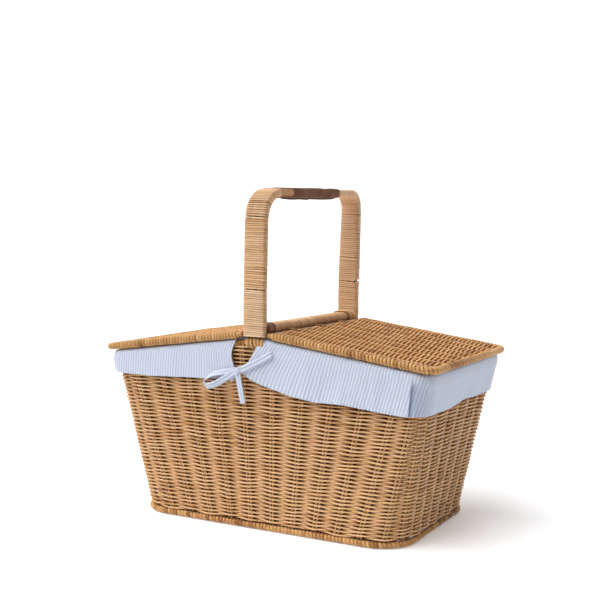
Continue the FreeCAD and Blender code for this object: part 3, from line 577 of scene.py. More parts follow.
# how far a weaver swings out and in from the wall's middle
WEAVE_REACH = 2.9
SAMPLES_BETWEEN_PAIRS = 6
HOLLOW_SPREAD = 0.66
# rows of the wall's pieces, from and to; a piece's mesh must not grow too large
ROW_BANDS = [(0, 32), (32, 64), (64, 100)]
SHORTEST_RUN = 4


def woven_wave(phase):
    """Nearly straight from one stake to the next, rounded where it bends over a pair."""
    return 0.90 * np.cos(phase) + 0.10 * np.cos(3 * phase)


def hollow_shade(wave):
    """Painted shade: cane is drawn darker where it dips behind a pair of stakes."""
    return blend_step(-0.05, -0.75, wave)


def packed_width(radius, wave):
    """A strand spreads to fill the gap where it dips between its neighbours."""
    return radius * (1 + HOLLOW_SPREAD * blend_step(-0.1, -0.6, wave))


def side_row(z, parity):
    """One weaver's closed path round the basket at a level, in front of every other pair."""
    dense = np.unique(np.concatenate([np.linspace(0, 8, 8 * 36 + 1), PAIRS]))
    ring, _ = side_surface(dense, np.full(dense.shape, z), np.full(dense.shape, -MID_INSET))
    run = arc_lengths(ring)
    pair_run = np.interp(PAIRS, dense, run)
    total = run[-1]
    edges = np.concatenate([pair_run, [pair_run[0] + total]])
    shares = np.arange(SAMPLES_BETWEEN_PAIRS) / SAMPLES_BETWEEN_PAIRS
    place_run = (edges[:-1, None] + (edges[1:] - edges[:-1])[:, None] * shares).ravel()
    count = (np.arange(len(PAIRS))[:, None] + shares).ravel()
    param = np.interp(place_run % total, run, dense)
    angle = 2 * math.pi * place_run / total
    sway_x, sway_y = 2.6 * np.cos(angle), 2.6 * np.sin(angle)
    height = z + 0.55 * waves(sway_x + z / 60, sway_y, 5) + 0.08 * waves(
        3 * sway_x, 3 * sway_y + z / 7, 6)
    reach = WEAVE_REACH * (1 + 0.07 * waves(2 * sway_x + z, sway_y, 9))
    wave = woven_wave(math.pi * (count + parity))
    offset = wave * reach - MID_INSET
    point, _ = side_surface(param, height, offset)
    return point, place_run, wave


def make_side_weave():
    """Weavers row over row; the rows near the sloping rim end under it."""
    rows = int((PEAK_Z - SIDE_BOTTOM - WEAVER_RADIUS - 1) / ROW_PITCH) + 1
    for index, (first, last) in enumerate(ROW_BANDS):
        strands = Strands(6)
        for row in range(first, min(last, rows)):
            z = SIDE_BOTTOM + WEAVER_RADIUS + row * ROW_PITCH
            point, run, wave = side_row(z, row % 2)
            shade = hollow_shade(wave)
            tone = chunk_tones(run, 420, 0.12)
            radius = WEAVER_RADIUS * (1 + 0.09 * np.sin(run / 37 + row * 2.4))
            radius = radius * random.uniform(0.94, 1.04)
            width = packed_width(radius, wave)
            below = point[:, 2] < gable_z(point[:, 0]) - 1.0
            if below.all():
                strands.add(point, (0, 0, 1), width, radius, tone, closed=True, shade=shade)
                continue
            start = int(np.argmin(below))
            order = np.roll(np.arange(len(below)), -start)
            inside = below[order]
            changes = np.flatnonzero(np.diff(np.concatenate([[0], inside.astype(int), [0]])))
            for low, high in changes.reshape(-1, 2):
                if high - low < SHORTEST_RUN:
                    continue
                pick = order[low:high]
                strands.add(point[pick], (0, 0, 1), width[pick], radius[pick], tone[pick],
                            shade=shade[pick])
        nodes = ("side_weave",) if index == 0 else ()
        strands.build(f"woven_side_{index}", weaver_cane, "basket", "cane_weave", *nodes)


def make_side_stakes():
    """Pairs of upright stakes from the foot to just under the rim."""
    strands = Strands(8)
    steps = np.linspace(0, 1, 16)
    for number, param in enumerate(PAIRS):
        for side in (-1, 1):
            head, _ = side_surface(np.array([param]), np.array([PEAK_Z]), np.array([-MID_INSET]))
            top_z = gable_z(head[0, 0]) - 3.0
            z = SIDE_BOTTOM + 0.4 + (top_z - SIDE_BOTTOM - 0.4) * steps
            params = np.full(z.shape, param)
            point, out = side_surface(params, z, np.full(z.shape, -MID_INSET))
            along = np.stack([-out[:, 1], out[:, 0], 0 * out[:, 0]], axis=1)
            wobble = side * (STAKE_HALF_GAP + 0.15 * np.sin(9 * steps + number))
            # painted shade: the stakes are drawn a little darker, as they stand between the weavers
            strands.add(point + along * wobble[:, None], along, STAKE_RADIUS, STAKE_RADIUS,
                        random.uniform(0.5, 0.9), shade=0.12)
    strands.build("upright_stakes", weaver_cane, "basket", "cane_stakes", "side_stakes")


# ---------------------------------------------------------------- wound borders
def coil(strands, path, normal, closed, tube_radius, strand_half, pitch, tone_spread,
         chunk=90.0, per_turn=9, middle=0.5, wobble=0.10):
    """Wind a strand round a path. normal is any steady direction across the path."""
    line = looped(path) if closed else path
    total = arc_lengths(line)[-1]
    turns = int(round(total / pitch))
    count = turns * per_turn
    places = np.linspace(0, total, count, endpoint=not closed)
    centre = resample(line, places)
    along = tangents(centre, closed)
    side = unit(np.broadcast_to(np.asarray(normal, float), along.shape)
                - along * (np.asarray(normal, float) * along).sum(1, keepdims=True))
    other = np.cross(along, side)
    phase = 2 * math.pi * turns * places / total
    knots = max(4, int(total / 9))
    sway = np.interp(places, np.linspace(0, total, knots), random.normal(0, 1, knots))
    if not closed:
        phase = phase + wobble * math.pi * sway
    radius = tube_radius - strand_half[1]
    lift = radius * (1 + 0.03 * np.sin(places / 11))
    point = centre + side * (np.cos(phase) * lift)[:, None] + other * (np.sin(phase) * lift)[:, None]
    tone = chunk_tones(arc_lengths(point), chunk, tone_spread, middle)
    turn_tone = random.normal(0, 0.15, turns + 2)
    tone = np.clip(tone + turn_tone[(phase / (2 * math.pi)).astype(int).clip(0, turns)], 0, 1)
    strands.add(point, along, strand_half[0], strand_half[1], tone, closed=closed)


def u_path(start_x, end_x, half_y, corner, step=1.0):
    """Out along one side, round the end and back along the other, in a plane."""
    steps = np.radians(np.linspace(0, 90, 14))
    first = [(start_x, -half_y, 0.0)]
    near = [(end_x - corner + corner * math.sin(a), -half_y + corner - corner * math.cos(a), 0.0)
            for a in steps]
    far = [(end_x - corner + corner * math.cos(a), half_y - corner + corner * math.sin(a), 0.0)
           for a in steps]
    last = [(start_x, half_y, 0.0)]
    path = np.array(first + near + far + last)
    return resample(path, np.arange(0, arc_lengths(path)[-1], step))


def make_border(word, outline, per_part, height, radius, strand_half, pitch, spread, middle=0.5):
    """A rod wound with cane, once round the basket; height is its middle line's, over x."""
    flat, _ = ring_point(np.linspace(0, 8, 8 * per_part, endpoint=False), *outline)
    line = looped(np.column_stack([flat, height(flat[:, 0])]))
    total = arc_lengths(line)[-1]
    path = resample(line, np.linspace(0, total, int(total), endpoint=False))
    strands = Strands(6)
    coil(strands, path, (0, 0, 1), True, radius, strand_half, pitch, spread, middle=middle)
    strands.build(f"{word}_wound_cane", border_cane, "basket", "border_cane", f"{word}_wrap")
    repaint(rod_along_x, f"{word}_rod")


def foot_height(x):
    """The foot's middle line is level."""
    return np.full(x.shape, FOOT_Z)


# ---------------------------------------------------------------- base
BASE_INSET = 5.2
BASE_PITCH = 2.6
BASE_Z = 5.8


def reach_at(place, half_length, half_width, corner):
    """Half the width of a rounded rectangle at a place along its length."""
    beyond = max(0.0, place - (half_length - corner))
    return half_width - corner + math.sqrt(max(0.0, corner ** 2 - beyond ** 2))


def make_base():
    """Weavers across the base, over and under its sticks."""
    strands = Strands(6)
    half_x, half_y, corner = [size - BASE_INSET for size in FOOT]
    count = int(2 * half_x / BASE_PITCH)
    for row in range(count):
        x = -half_x + (row + 0.5) * 2 * half_x / count
        reach = reach_at(abs(x), half_x, half_y, corner)
        if reach < 12:
            continue
        y = np.linspace(-reach, reach, max(8, int(reach * 2 / 4.4)))
        z = BASE_Z + 1.75 * woven_wave(math.pi * (y / 23.0 + row % 2))
        path = np.column_stack([np.full(y.shape, x), y, z])
        strands.add(path, (1, 0, 0), 1.25, 1.1, chunk_tones(y - y[0], 160, 0.18, 0.4))
    strands.build("woven_base", weaver_cane, "basket", "cane_weave", "base_weave")
    repaint(rod_along_x, "base_sticks")


# ---------------------------------------------------------------- lids
def lid_matrix(side):
    """From a lid's own plane, hinge line to end, to its closed place."""
    cosine, sine = math.cos(ROOF_ANGLE), math.sin(ROOF_ANGLE)
    turn = np.array([[cosine, 0, sine], [0, 1, 0], [-sine, 0, cosine]])
    face = np.diag([side, side, 1.0])
    return face @ turn, np.array([side * HINGE_X, 0, HINGE_Z])


class PlacedStrands(Strands):
    """Strands drawn in a lid's own plane and moved to its closed place."""

    def __init__(self, sides, side):
        super().__init__(sides)
        self.turn, self.origin = lid_matrix(side)

    def add(self, path, across, *sizes, **options):
        across = np.asarray(across, float) @ self.turn.T
        super().add(np.asarray(path) @ self.turn.T + self.origin, across, *sizes, **options)


LID_ROW_PITCH = 2.88
LID_FIRST_ROW = 4.8
LID_REACH = 2.75
LID_WEAVER_RADIUS = 1.36
# the weave runs this far into the border
LID_TUCK = 0.6


def weave_lid(side, word, body, end_x, half_y, corner):
    """Weavers across the lid, from its hinge to its end."""
    weave = PlacedStrands(6, side)
    last_row = end_x - 0.4
    rows = int((last_row - LID_FIRST_ROW) / LID_ROW_PITCH) + 1
    for row, x in enumerate(np.linspace(LID_FIRST_ROW, last_row, rows)):
        reach = reach_at(x, end_x, half_y, corner)
        y = np.linspace(-reach, reach, int(2 * reach / 5.1))
        wave = woven_wave(math.pi * (y / LID_PAIR_PITCH + 0.5 + row % 2))
        bow = 0.5 * waves(y / 120 + x / 300, np.full(y.shape, x / 60), 30 + side) * blend_step(
            0, 10, x) * blend_step(end_x, end_x - 12, x)
        path = np.column_stack([x + bow, y, LID_REACH * wave])
        tone = chunk_tones(y - y[0], 190, 0.13)
        radius = LID_WEAVER_RADIUS * random.uniform(0.95, 1.03)
        # painted shade: lid cane is drawn darker where it dips behind a pair of ribs
        weave.add(path, (1, 0, 0), packed_width(radius, wave), radius * 0.95, tone,
                  shade=0.85 * hollow_shade(wave))
    weave.build(f"{word}_lid_woven", lid_cane, body, "cane_weave", f"{word}_lid_weave")


def make_lid(side, word):
    """A flat lid: weavers over pairs of ribs in a wound border."""
    body = f"{word}_lid"
    end_x, half_y, corner = [size - BORDER_RADIUS + LID_TUCK
                             for size in (LID_LENGTH, LID_HALF_WIDTH, LID_CORNER)]
    weave_lid(side, word, body, end_x, half_y, corner)

    ribs = PlacedStrands(8, side)
    for pair in range(LID_PAIRS):
        for shift in (-STAKE_HALF_GAP, STAKE_HALF_GAP):
            y = (pair - (LID_PAIRS - 1) / 2) * LID_PAIR_PITCH + shift
            far = reach_at(abs(y) + STAKE_RADIUS, half_y, end_x, corner) - 0.5
            x = np.linspace(2.9, far, 14)
            sway = y + 0.12 * np.sin(x / 17 + pair)
            # painted shade: the ribs are drawn a little darker, as they lie between the weavers
            ribs.add(np.column_stack([x, sway, 0 * x]), (0, 1, 0), STAKE_RADIUS, STAKE_RADIUS,
                     random.uniform(0.4, 0.8), shade=0.25)
    ribs.build(f"{word}_lid_ribs", lid_cane, body, "cane_stakes", f"{word}_lid_stakes")

    border = PlacedStrands(6, side)
    path = u_path(5.0, LID_LENGTH, LID_HALF_WIDTH, LID_CORNER)
    coil(border, path, (0, 0, 1), False, BORDER_RADIUS + 0.2, (2.0, 1.4), 4.5, 0.15)
    border.build(f"{word}_lid_wound_cane", border_cane, body, "border_cane", f"{word}_lid_wrap")
    repaint(rod_along_x, f"{word}_lid_frame")
    repaint(rod_along_y, f"{word}_lid_hinge_rod")


# ---------------------------------------------------------------- handle
# how far the legs stand to the left; it fades to a share over the feet
FRONT_SLACK, BACK_SLACK = 1.0, 2.0
FOOT_SLACK, FOOT_SLACK_RISE = 0.3, 45.0
WRAP_PITCH, WRAP_HALF = 2.64, (1.38, 0.9)
LOOSE_TURNS = 0.03
CORE_SPACING, CORE_RADIUS = 10.1, 3.0
# the foot bindings are the wraps up to this level
LEG_LOW_END = 300.0


def leaned(points):
    """The handle leans a little to the right about its feet, and its legs stand a little slack."""
    cosine, sine = math.cos(HANDLE_LEAN), math.sin(HANDLE_LEAN)
    turn = np.array([[cosine, 0, -sine], [0, 1, 0], [sine, 0, cosine]])
    foot = np.array([0, 0, HANDLE_FOOT])
    placed = (points - foot) @ turn + foot
    y, z = placed[..., 1], placed[..., 2]
    height = (z - HANDLE_FOOT) / (HANDLE_TOP - HANDLE_FOOT)
    slack = FRONT_SLACK * (1 - blend_step(GRIP_FRONT, GRIP_BACK, y))
    slack = slack + BACK_SLACK * (1 - height) * (y > GRIP_BACK)
    rising = blend_step(HANDLE_FOOT, HANDLE_FOOT + FOOT_SLACK_RISE, z)
    placed[..., 0] -= slack * (FOOT_SLACK + (1 - FOOT_SLACK) * rising)
    return placed


def bow_frame(low_z):
    """The handle's centre line in its own plane, with outward directions and curvature."""
    sine, cosine = math.sin(HANDLE_RISE), math.cos(HANDLE_RISE)
    up, across = np.array([-sine, cosine]), np.array([cosine, sine])
    middle = np.array([0, HANDLE_TOP])
    front_bend, back_bend = HANDLE_BENDS
    front_end = middle + across * ((-HANDLE_Y + front_bend * (1 - sine)) / cosine)
    back_end = middle + across * ((HANDLE_Y - back_bend * (1 + sine)) / cosine)
    front_centre, back_centre = front_end - up * front_bend, back_end - up * back_bend
    points, curls = [], []
    for z in np.arange(low_z, front_centre[1], 1.0):
        points.append((-HANDLE_Y, z))
        curls.append(0)
    for angle in np.linspace(math.pi, math.pi / 2 + HANDLE_RISE, 50):
        points.append(front_centre + front_bend * np.array([math.cos(angle), math.sin(angle)]))
        curls.append(1 / front_bend)
    level = np.linalg.norm(back_end - front_end)
    for step in np.arange(1, level, 1.0):
        points.append(front_end + across * step)
        curls.append(0)
    for angle in np.linspace(math.pi / 2 + HANDLE_RISE, 0, 38):
        points.append(back_centre + back_bend * np.array([math.cos(angle), math.sin(angle)]))
        curls.append(1 / back_bend)
    for z in np.arange(back_centre[1] - 1, low_z - 0.5, -1.0):
        points.append((HANDLE_Y, z))
        curls.append(0)
    flat, curl = np.array(points), np.array(curls, float)
    path = np.column_stack([np.zeros(len(flat)), flat])
    along = tangents(path, False)
    out = np.cross(along, np.array([1.0, 0, 0]))
    return path, along, out, curl


def rounded_section(half_width, half_height, corner, per_corner=3, long_steps=3, short_steps=1):
    """Points round a rectangle with round corners, starting on its outer long side."""
    points = []
    for index, (sx, sy, start) in enumerate(((1, 1, 90), (1, -1, 0), (-1, -1, -90), (-1, 1, 180))):
        cx, cy = sx * (half_width - corner), sy * (half_height - corner)
        for angle in np.radians(np.linspace(start, start - 90, per_corner)):
            points.append((cx + corner * math.cos(angle), cy + corner * math.sin(angle)))
        steps = short_steps if index % 2 == 0 else long_steps
        nx, ny = [(1, -1), (-1, -1), (-1, 1), (1, 1)][index]
        following = np.array([(nx * (half_width - corner), ny * half_height),
                              (nx * half_width, ny * (half_height - corner))])
        target = following[1] if index % 2 == 0 else following[0]
        for step in range(1, steps + 1):
            share = step / (steps + 1)
            last = np.array(points[-1]) if step == 1 else base
            base = last
            points.append(tuple(base * (1 - share) + target * share))
    return np.array(points)


def wind_flat(strands, path, along, out, curl, section, pitch, strand_half, tone, scale=None,
              move=None):
    """Wind a flat strand round a bar whose section is given, along its centre line.

    scale grows the section at each point of the path; a few turns have slipped.
    """
    run = arc_lengths(path)
    total = run[-1]
    turns = int(round(total / pitch))
    per_turn = len(section)
    count = turns * per_turn + 1
    places = np.linspace(0, total, count)
    side = np.array([1.0, 0, 0])
    index = np.arange(count) % per_turn
    section_points = section[index]
    if scale is not None:
        grow = np.interp(places, run, scale)
        section_points = section_points + np.sign(section_points) * np.column_stack(
            [grow, 0.3 * grow])
    centre = resample(path, places)
    outward = unit(np.stack([np.interp(places, run, out[:, axis]) for axis in range(3)], axis=1))
    tangent = unit(np.stack([np.interp(places, run, along[:, axis]) for axis in range(3)], axis=1))
    bend = np.interp(places, run, curl)
    slip = random.normal(0, 0.14, turns + 1)
    loose = random.uniform(0, 1, turns + 1) < LOOSE_TURNS
    slip = slip + loose * random.choice([-0.6, 0.6], turns + 1)
    jitter = np.interp(places, np.linspace(0, total, turns + 1), slip)
    slant = 0.30 * np.interp(places, np.linspace(0, total, 9), random.normal(0, 1, 9))
    shift = jitter + slant * section_points[:, 0] / section[:, 0].max()
    point = (centre + side * section_points[:, :1] + outward * section_points[:, 1:]
             + tangent * shift[:, None])
    width = strand_half[0] * (1 + bend * section_points[:, 1])
    turn = np.arange(count) // per_turn
    turn_tone = random.normal(0, 0.12, turns + 1) + 0.10 * (-1.0) ** np.arange(turns + 1)
    tones = np.clip(tone + turn_tone[turn.clip(0, turns)], 0, 1)
    if move is not None:
        point = move(point)
    strands.add(point, tangent, width, strand_half[1], tones)


def make_handle():
    """The wound bow in four pieces, round three thin rods."""
    path, along, out, curl = bow_frame(HANDLE_FOOT - 1.2)
    section = rounded_section(HANDLE_HALF[0] - 0.6, HANDLE_HALF[1] - 0.6, 1.9)
    on_front = np.arange(len(path)) < np.argmax(path[:, 1] > 0)
    y, z = path[:, 1], path[:, 2]
    low = z < LEG_LOW_END
    in_front = on_front & (y < GRIP_FRONT + 4)
    in_back = ~on_front & (y > GRIP_BACK)
    for word, zone, material, node in (
            ("front_foot", in_front & low, pale_cane, "handle_binding_front"),
            ("front", in_front & ~low, handle_cane, "handle_wrap_front"),
            ("back_foot", in_back & low, handle_cane, "handle_binding_back"),
            ("back", in_back & ~low, handle_cane, "handle_wrap_back")):
        pick = np.flatnonzero(zone)
        flare = 0.4 + 0.5 * blend_step(HANDLE_FOOT, HANDLE_FOOT + 17, z[pick])
        if word.startswith("front"):
            upper, tone = 0.8, 0.62
        else:
            flare = flare + 0.2
            upper, tone = 1.3 - 0.9 * blend_step(LEG_LOW_END, 400, z[pick]), 0.95
        strands = Strands(6)
        wind_flat(strands, path[pick], along[pick], out[pick], curl[pick], section, WRAP_PITCH,
                  WRAP_HALF, tone, np.where(low[pick], flare, upper), move=leaned)
        strands.build(f"handle_wound_{word}", material, "basket", "handle_cane", node)

    rods = Strands(8)
    pick = np.arange(0, len(path), 3)
    for shift in (-CORE_SPACING, 0.0, CORE_SPACING):
        rods.add(leaned(path[pick] + [shift, 0, 0]), (1, 0, 0), CORE_RADIUS, CORE_RADIUS, 0.2)
    rods.build("handle_core", binding_cane, "basket", "core_rods", "handle_rods")


LEATHER_THICKNESS = 1.4
STITCHES, STITCH_PITCH, FIRST_STITCH = 20, 5.9, -58.5
HIDDEN_STITCHES = (9, 10, 11)


def sleeve(name, corner, low_y, high_y, swell, round_end, node):
    """A leather sleeve round the top of the handle; its far end may be a rounded tongue."""
    half = GRIP_HALF
    path, along, out, _ = bow_frame(HANDLE_FOOT)
    on_top = path[:, 2] > HANDLE_TOP - 20
    top = np.flatnonzero((path[:, 1] >= low_y) & (path[:, 1] <= high_y) & on_top)
    centre, outward, tangent = path[top], out[top], along[top]
    section = rounded_section(half[0], half[1], corner, 5, 9, 4)
    count, number = len(top), len(section)
    along_y = centre[:, 1]
    wave = waves(along_y[:, None] / 38 + 0 * section[None, :, 0],
                 section[None, :, 0] / 30 + section[None, :, 1] / 12 + 0 * along_y[:, None], 44)
    grown = swell(along_y)[:, None] + 0.16 * wave
    radial = unit(np.stack([section[:, 0] / half[0], section[:, 1] / half[1]], axis=-1))
    sideways = section[None, :, 0] + radial[None, :, 0] * grown
    upwards = section[None, :, 1] + radial[None, :, 1] * grown
    height = upwards / (half[1] + 0.5)
    slide = -round_end * (1 - np.sqrt(np.clip(1 - height ** 2, 0, 1))) * blend_step(
        high_y - 20, high_y, along_y)[:, None]
    def skin(inset):
        return (centre[:, None] + np.array([1.0, 0, 0]) * (sideways * (1 - inset / half[0]))[..., None]
                + outward[:, None] * (upwards * (1 - inset / half[1]))[..., None]
                + tangent[:, None] * slide[..., None])

    inner = skin(LEATHER_THICKNESS)
    whole = leaned(np.concatenate([inner[:1], skin(0), inner[-1:]]))
    level = np.concatenate([height[:1], height, height[-1:]])
    tan_and_highlight = np.zeros(level.shape)
    if round_end:
        whole_y = np.concatenate([along_y[:1], along_y, along_y[-1:]])[:, None]
        # a tan band on the tongue's upper flanks: partly its tan colour, partly a painted highlight of
        # its lit upper edge
        tan_and_highlight = (0.95 * blend_step(-0.85, -0.6, level) * (1 - blend_step(0.4, 0.65, level))
                * (1 - blend_step(high_y - 4.2, high_y - 3.0, whole_y)))
    piece = mesh_object(name, whole.reshape(-1, 3), grid_quads(count + 2, number, True),
                        [("tan_and_highlight", "FLOAT", tan_and_highlight.ravel())])
    place(piece, leather, "basket", "grip_leather", node)


def make_grip():
    """The leather sleeve, the keeper over its front end and the stitches below."""
    def grip_swell(y):
        thin_end = 1 - blend_step(GRIP_FRONT, -64, y)
        return 0.4 * blend_step(-66, -50, y) - 1.4 * thin_end - 0.9 * blend_step(54, GRIP_BACK, y)

    def keeper_swell(y):
        return 0.5 - 1.1 * (1 - blend_step(KEEPER_FRONT, -68, y))

    sleeve("leather_sleeve", 3.6, GRIP_FRONT, GRIP_BACK + 0.5, grip_swell, 0, "grip_leather")
    sleeve("leather_keeper", 4.2, KEEPER_FRONT, KEEPER_BACK, keeper_swell, 11.0, "grip_keeper")

    stitches = Strands(6)
    drop = GRIP_HALF[1] + 0.5
    for index in range(STITCHES):
        y = FIRST_STITCH + index * STITCH_PITCH
        if index in HIDDEN_STITCHES:
            continue
        level = HANDLE_TOP + y * math.tan(HANDLE_RISE) - drop
        hang = random.uniform(0.5, 1.4)
        points = [(-8.5, y - 0.6, level + 0.4), (-4.0, y, level - hang),
                  (4.0, y + 1.6, level - hang), (9.5, y + 2.4, level + 0.4)]
        stitches.add(leaned(smooth_path(points, 12)), (0, 1, 0), 0.85, 0.7, random.uniform(0.2, 0.8))
    stitches.build("grip_stitches", thread, "basket", "grip_thread", "grip_lacing")


def make_lashings():
    """Thick turns that tie each leg of the handle to the rim."""
    for side, word in ((-1, "front"), (1, "back")):
        strands = Strands(8)
        for index in range(5):
            x = (index - 2) * 5.0 + random.normal(0, 0.2)
            angle = np.radians(np.linspace(-62, 112, 22))
            lean = random.normal(0, 1.0)
            radius = 6.1
            path = np.column_stack([
                x + lean * np.linspace(-0.5, 0.5, len(angle)),
                side * (RIM[1] + radius * np.cos(angle)),
                PEAK_Z - ROOF_SLOPE * abs(x) + radius * np.sin(angle)])
            strands.add(path, (1, 0, 0), 2.35, 1.35, random.uniform(0.3, 0.85))
        strands.build(f"rim_lashing_{word}", border_cane, "basket", "border_cane",
                      f"handle_lashing_{word}")


# ---------------------------------------------------------------- crossbar
def stadium_points(half_width, half_height, per_end=7, flat_steps=2):
    """Points round a flat bar with round edges, in the XZ plane about its centre."""
    flat = half_width - half_height
    points = []
    for sign in (1, -1):
        start = 90 if sign == 1 else -90
        for angle in np.radians(np.linspace(start, start - 180, per_end)):
            points.append((sign * flat + half_height * math.cos(angle),
                           half_height * math.sin(angle)))
        last = points[-1]
        target = (-last[0], last[1])
        for step in range(1, flat_steps + 1):
            share = step / (flat_steps + 1)
            points.append((last[0] * (1 - share) + target[0] * share, last[1]))
    return np.array(points)


def make_crossbar():
    """The wound bar between the lids and the bindings of its ends."""
    strands = Strands(6)
    section = stadium_points(CROSSBAR_HALF[0] - 0.7, CROSSBAR_HALF[1] - 0.7)
    y = np.arange(-CROSSBAR_REACH + 0.5, CROSSBAR_REACH, 1.0)
    path = np.column_stack([0 * y, y, np.full(y.shape, CROSSBAR_Z)])
    along = np.tile([0.0, 1.0, 0.0], (len(y), 1))
    out = np.tile([0.0, 0.0, 1.0], (len(y), 1))
    wind_flat(strands, path, along, out, 0 * y, section, 3.0, (1.55, 0.72), 0.5)
    strands.build("crossbar_wound", handle_cane, "basket", "handle_cane", "crossbar_wrap")
    repaint(rod_along_y, "crossbar_rods")

    for side, word, material in ((-1, "front", binding_cane), (1, "back", handle_cane)):
        binding = Strands(6)
        for index in range(10):
            nearness = index / 9
            ring = stadium_points(CROSSBAR_HALF[0] + 0.7 + 2.2 * nearness,
                                  CROSSBAR_HALF[1] + 0.7 + 1.6 * nearness, 11, 3)
            loop = looped(ring)
            level = 100.8 + 2.15 * index + random.normal(0, 0.15)
            y = side * np.clip(level - 0.22 * (loop[:, 1] - 7), 100.0, 122.8)
            turn = np.column_stack([loop[:, 0], y, CROSSBAR_Z - 0.6 * nearness + loop[:, 1]])
            tone = random.uniform(0.0, 0.25) if index < 3 else random.uniform(0.2, 0.9)
            binding.add(turn, (0, 1, 0), 1.2, 0.85, tone)
        binding.build(f"crossbar_bound_{word}", material, "basket", "handle_cane",
                      f"crossbar_binding_{word}")


def make_hinge_loops():
    """Cane loops that hold each lid's hinge rod to the crossbar."""
    for side, word in ((-1, "left"), (1, "right")):
        strands = Strands(8)
        for spot in (-LOOP_PITCH, 0.0, LOOP_PITCH):
            for shift in (-2.0, 0.0, 2.0):
                outline = [(13.4, 248.6), (14.6, 247.9), (17.2, 247.5), (18.8, 247.6),
                           (20.6, 247.6), (23.1, 246.0), (23.7, 243.6), (22.3, 241.3),
                           (19.6, 240.7), (16.0, 241.6), (12.0, 243.3), (8.0, 242.7), (4.5, 242.5)]
                points = [(side * x, spot + shift, z) for x, z in outline]
                path = smooth_path(points, 36)
                # painted shade: the loops beside the crossbar are drawn darker
                strands.add(path, (0, 1, 0), 1.0, 0.6, random.uniform(0.1, 0.4), shade=0.4)
        strands.build(f"{word}_hinge_bands", border_cane, "basket", "border_cane",
                      f"{word}_hinge_loops")


# ---------------------------------------------------------------- cloth liner
def cloth_object(name, grid, cloth, wrap=False, thickness=0.8, crease_shade=0.0):
    """A thin cloth from a grid of points, with its flat coordinates for the stripes.

    crease_shade is painted shade: 1 where a point lies deep in a sharp fold.
    """
    rows, columns = grid.shape[:2]
    quads = grid_quads(rows, columns, wrap_columns=wrap)
    piece = mesh_object(name, grid.reshape(-1, 3), quads,
                        [("cloth", "FLOAT_VECTOR", cloth.reshape(-1, 3)),
                         ("crease_shade", "FLOAT", np.broadcast_to(crease_shade, (rows, columns)).ravel())])
    solidify = piece.modifiers.new("thickness", "SOLIDIFY")
    solidify.thickness = thickness * MM
    solidify.offset = 0
    return piece


def rim_centre(param):
    """Points of the gabled rim's middle line and the outward directions."""
    flat, out = ring_point(param, *RIM)
    return (np.concatenate([flat, gable_z(flat[..., :1])], axis=-1),
            np.concatenate([out, np.zeros(out.shape[:-1] + (1,))], axis=-1))


COLLAR_LIFT = 5.3
HEM_RIGHT = [(12, 195), (20, 188.5), (30, 183.5), (60, 173.5), (90, 168.5), (129, 169),
             (167, 165), (191, 163), (206, 162), (226, 164)]
HEM_LEFT = [(24, 193), (40, 189), (73, 186), (111, 185), (159, 183), (208, 183), (226, 184)]
# the free edges at the front, as (x, z) down from the rim
SLIT_LEFT = [(-27, 250), (-27, 239), (-30.5, 228), (-32, 218), (-31, 210), (-28, 202), (-26, 190)]
SLIT_RIGHT = [(12, 250), (9, 240), (3, 230), (-3, 219), (-11, 207), (-15, 198), (-15, 188)]
COLLAR_OUTSET = 2.9
LEFT_END_LOOSE = 3.4
STRIPE_LEAN = {"left": -0.10, "right": 0.20}
# the cloth turns over the rim in the first rows and falls in the others
FOLD_ROWS, FALL_ROWS = 14, 34
FOLD_START = 215.0
# how far from a free edge the bows have drawn the cloth along
DRAWN_REACH = 95.0
# the sharp fold at the right collar's corners: the panel beyond it, its step and its place
FOLD_TURN = math.radians(32)
FOLD_STEP = 2.8
MAX_FOLD_ANGLE = 1.4
FOLD_BEYOND, FOLD_DRIFT, FOLD_LEVEL = 1.2, 0.195, 212.0


def front_param(x):
    """The outline parameter of a place on the front side of the rim."""
    return (x / (RIM[0] - RIM[2]) + 1) / 2


def collar_columns(side, edge_x):
    """Outline parameters of the collar's columns, from its free edge round to the back."""
    start = front_param(edge_x)
    front = np.linspace(0, 1, 150)[:-1]
    corner = np.linspace(0, 1, 61)[:-1]
    end = np.linspace(0, 1, 110)[:-1]
    if side > 0:
        parts = [start + (1 - start) * front, 1 + corner, 2 + end, 3 + corner,
                 4 + (1 - start) * np.linspace(0, 1, 150)]
        return np.concatenate(parts)
    parts = [start - start * front, -corner, -1 - end, -2 - corner,
             -3 - start * np.linspace(0, 1, 150)]
    return np.concatenate(parts) + 8


def angle_from_face(ring):
    """How far round a corner a column is, from the front or back face to the end face."""
    part = ring % 4
    return math.pi / 2 * np.where(part < 2, np.clip(part - 1, 0, 1), np.clip(4 - part, 0, 1))


def fold_place(z):
    """The corner's radius at each level, and how far round it the fold lies."""
    share = z / PEAK_Z
    radius = BODY_LOW[2] * (1 - share) + BODY_TOP[2] * share + COLLAR_OUTSET
    beyond = np.clip(FOLD_BEYOND + FOLD_DRIFT * (FOLD_LEVEL - z), 1, 14)
    return radius, np.arctan(beyond / radius)


def fold_shade(angle, z):
    """Painted shade: dark in the fold and less so on the panel beyond it."""
    _, vertex = fold_place(z)
    past = angle - vertex
    narrow = np.clip(1 - np.abs(past - 0.03) / 0.06, 0, 1)
    broad = np.where(past > 0, np.clip(1 - past / 1.1, 0, 1), 0)
    return np.maximum(0.95 * narrow, 0.36 * broad)


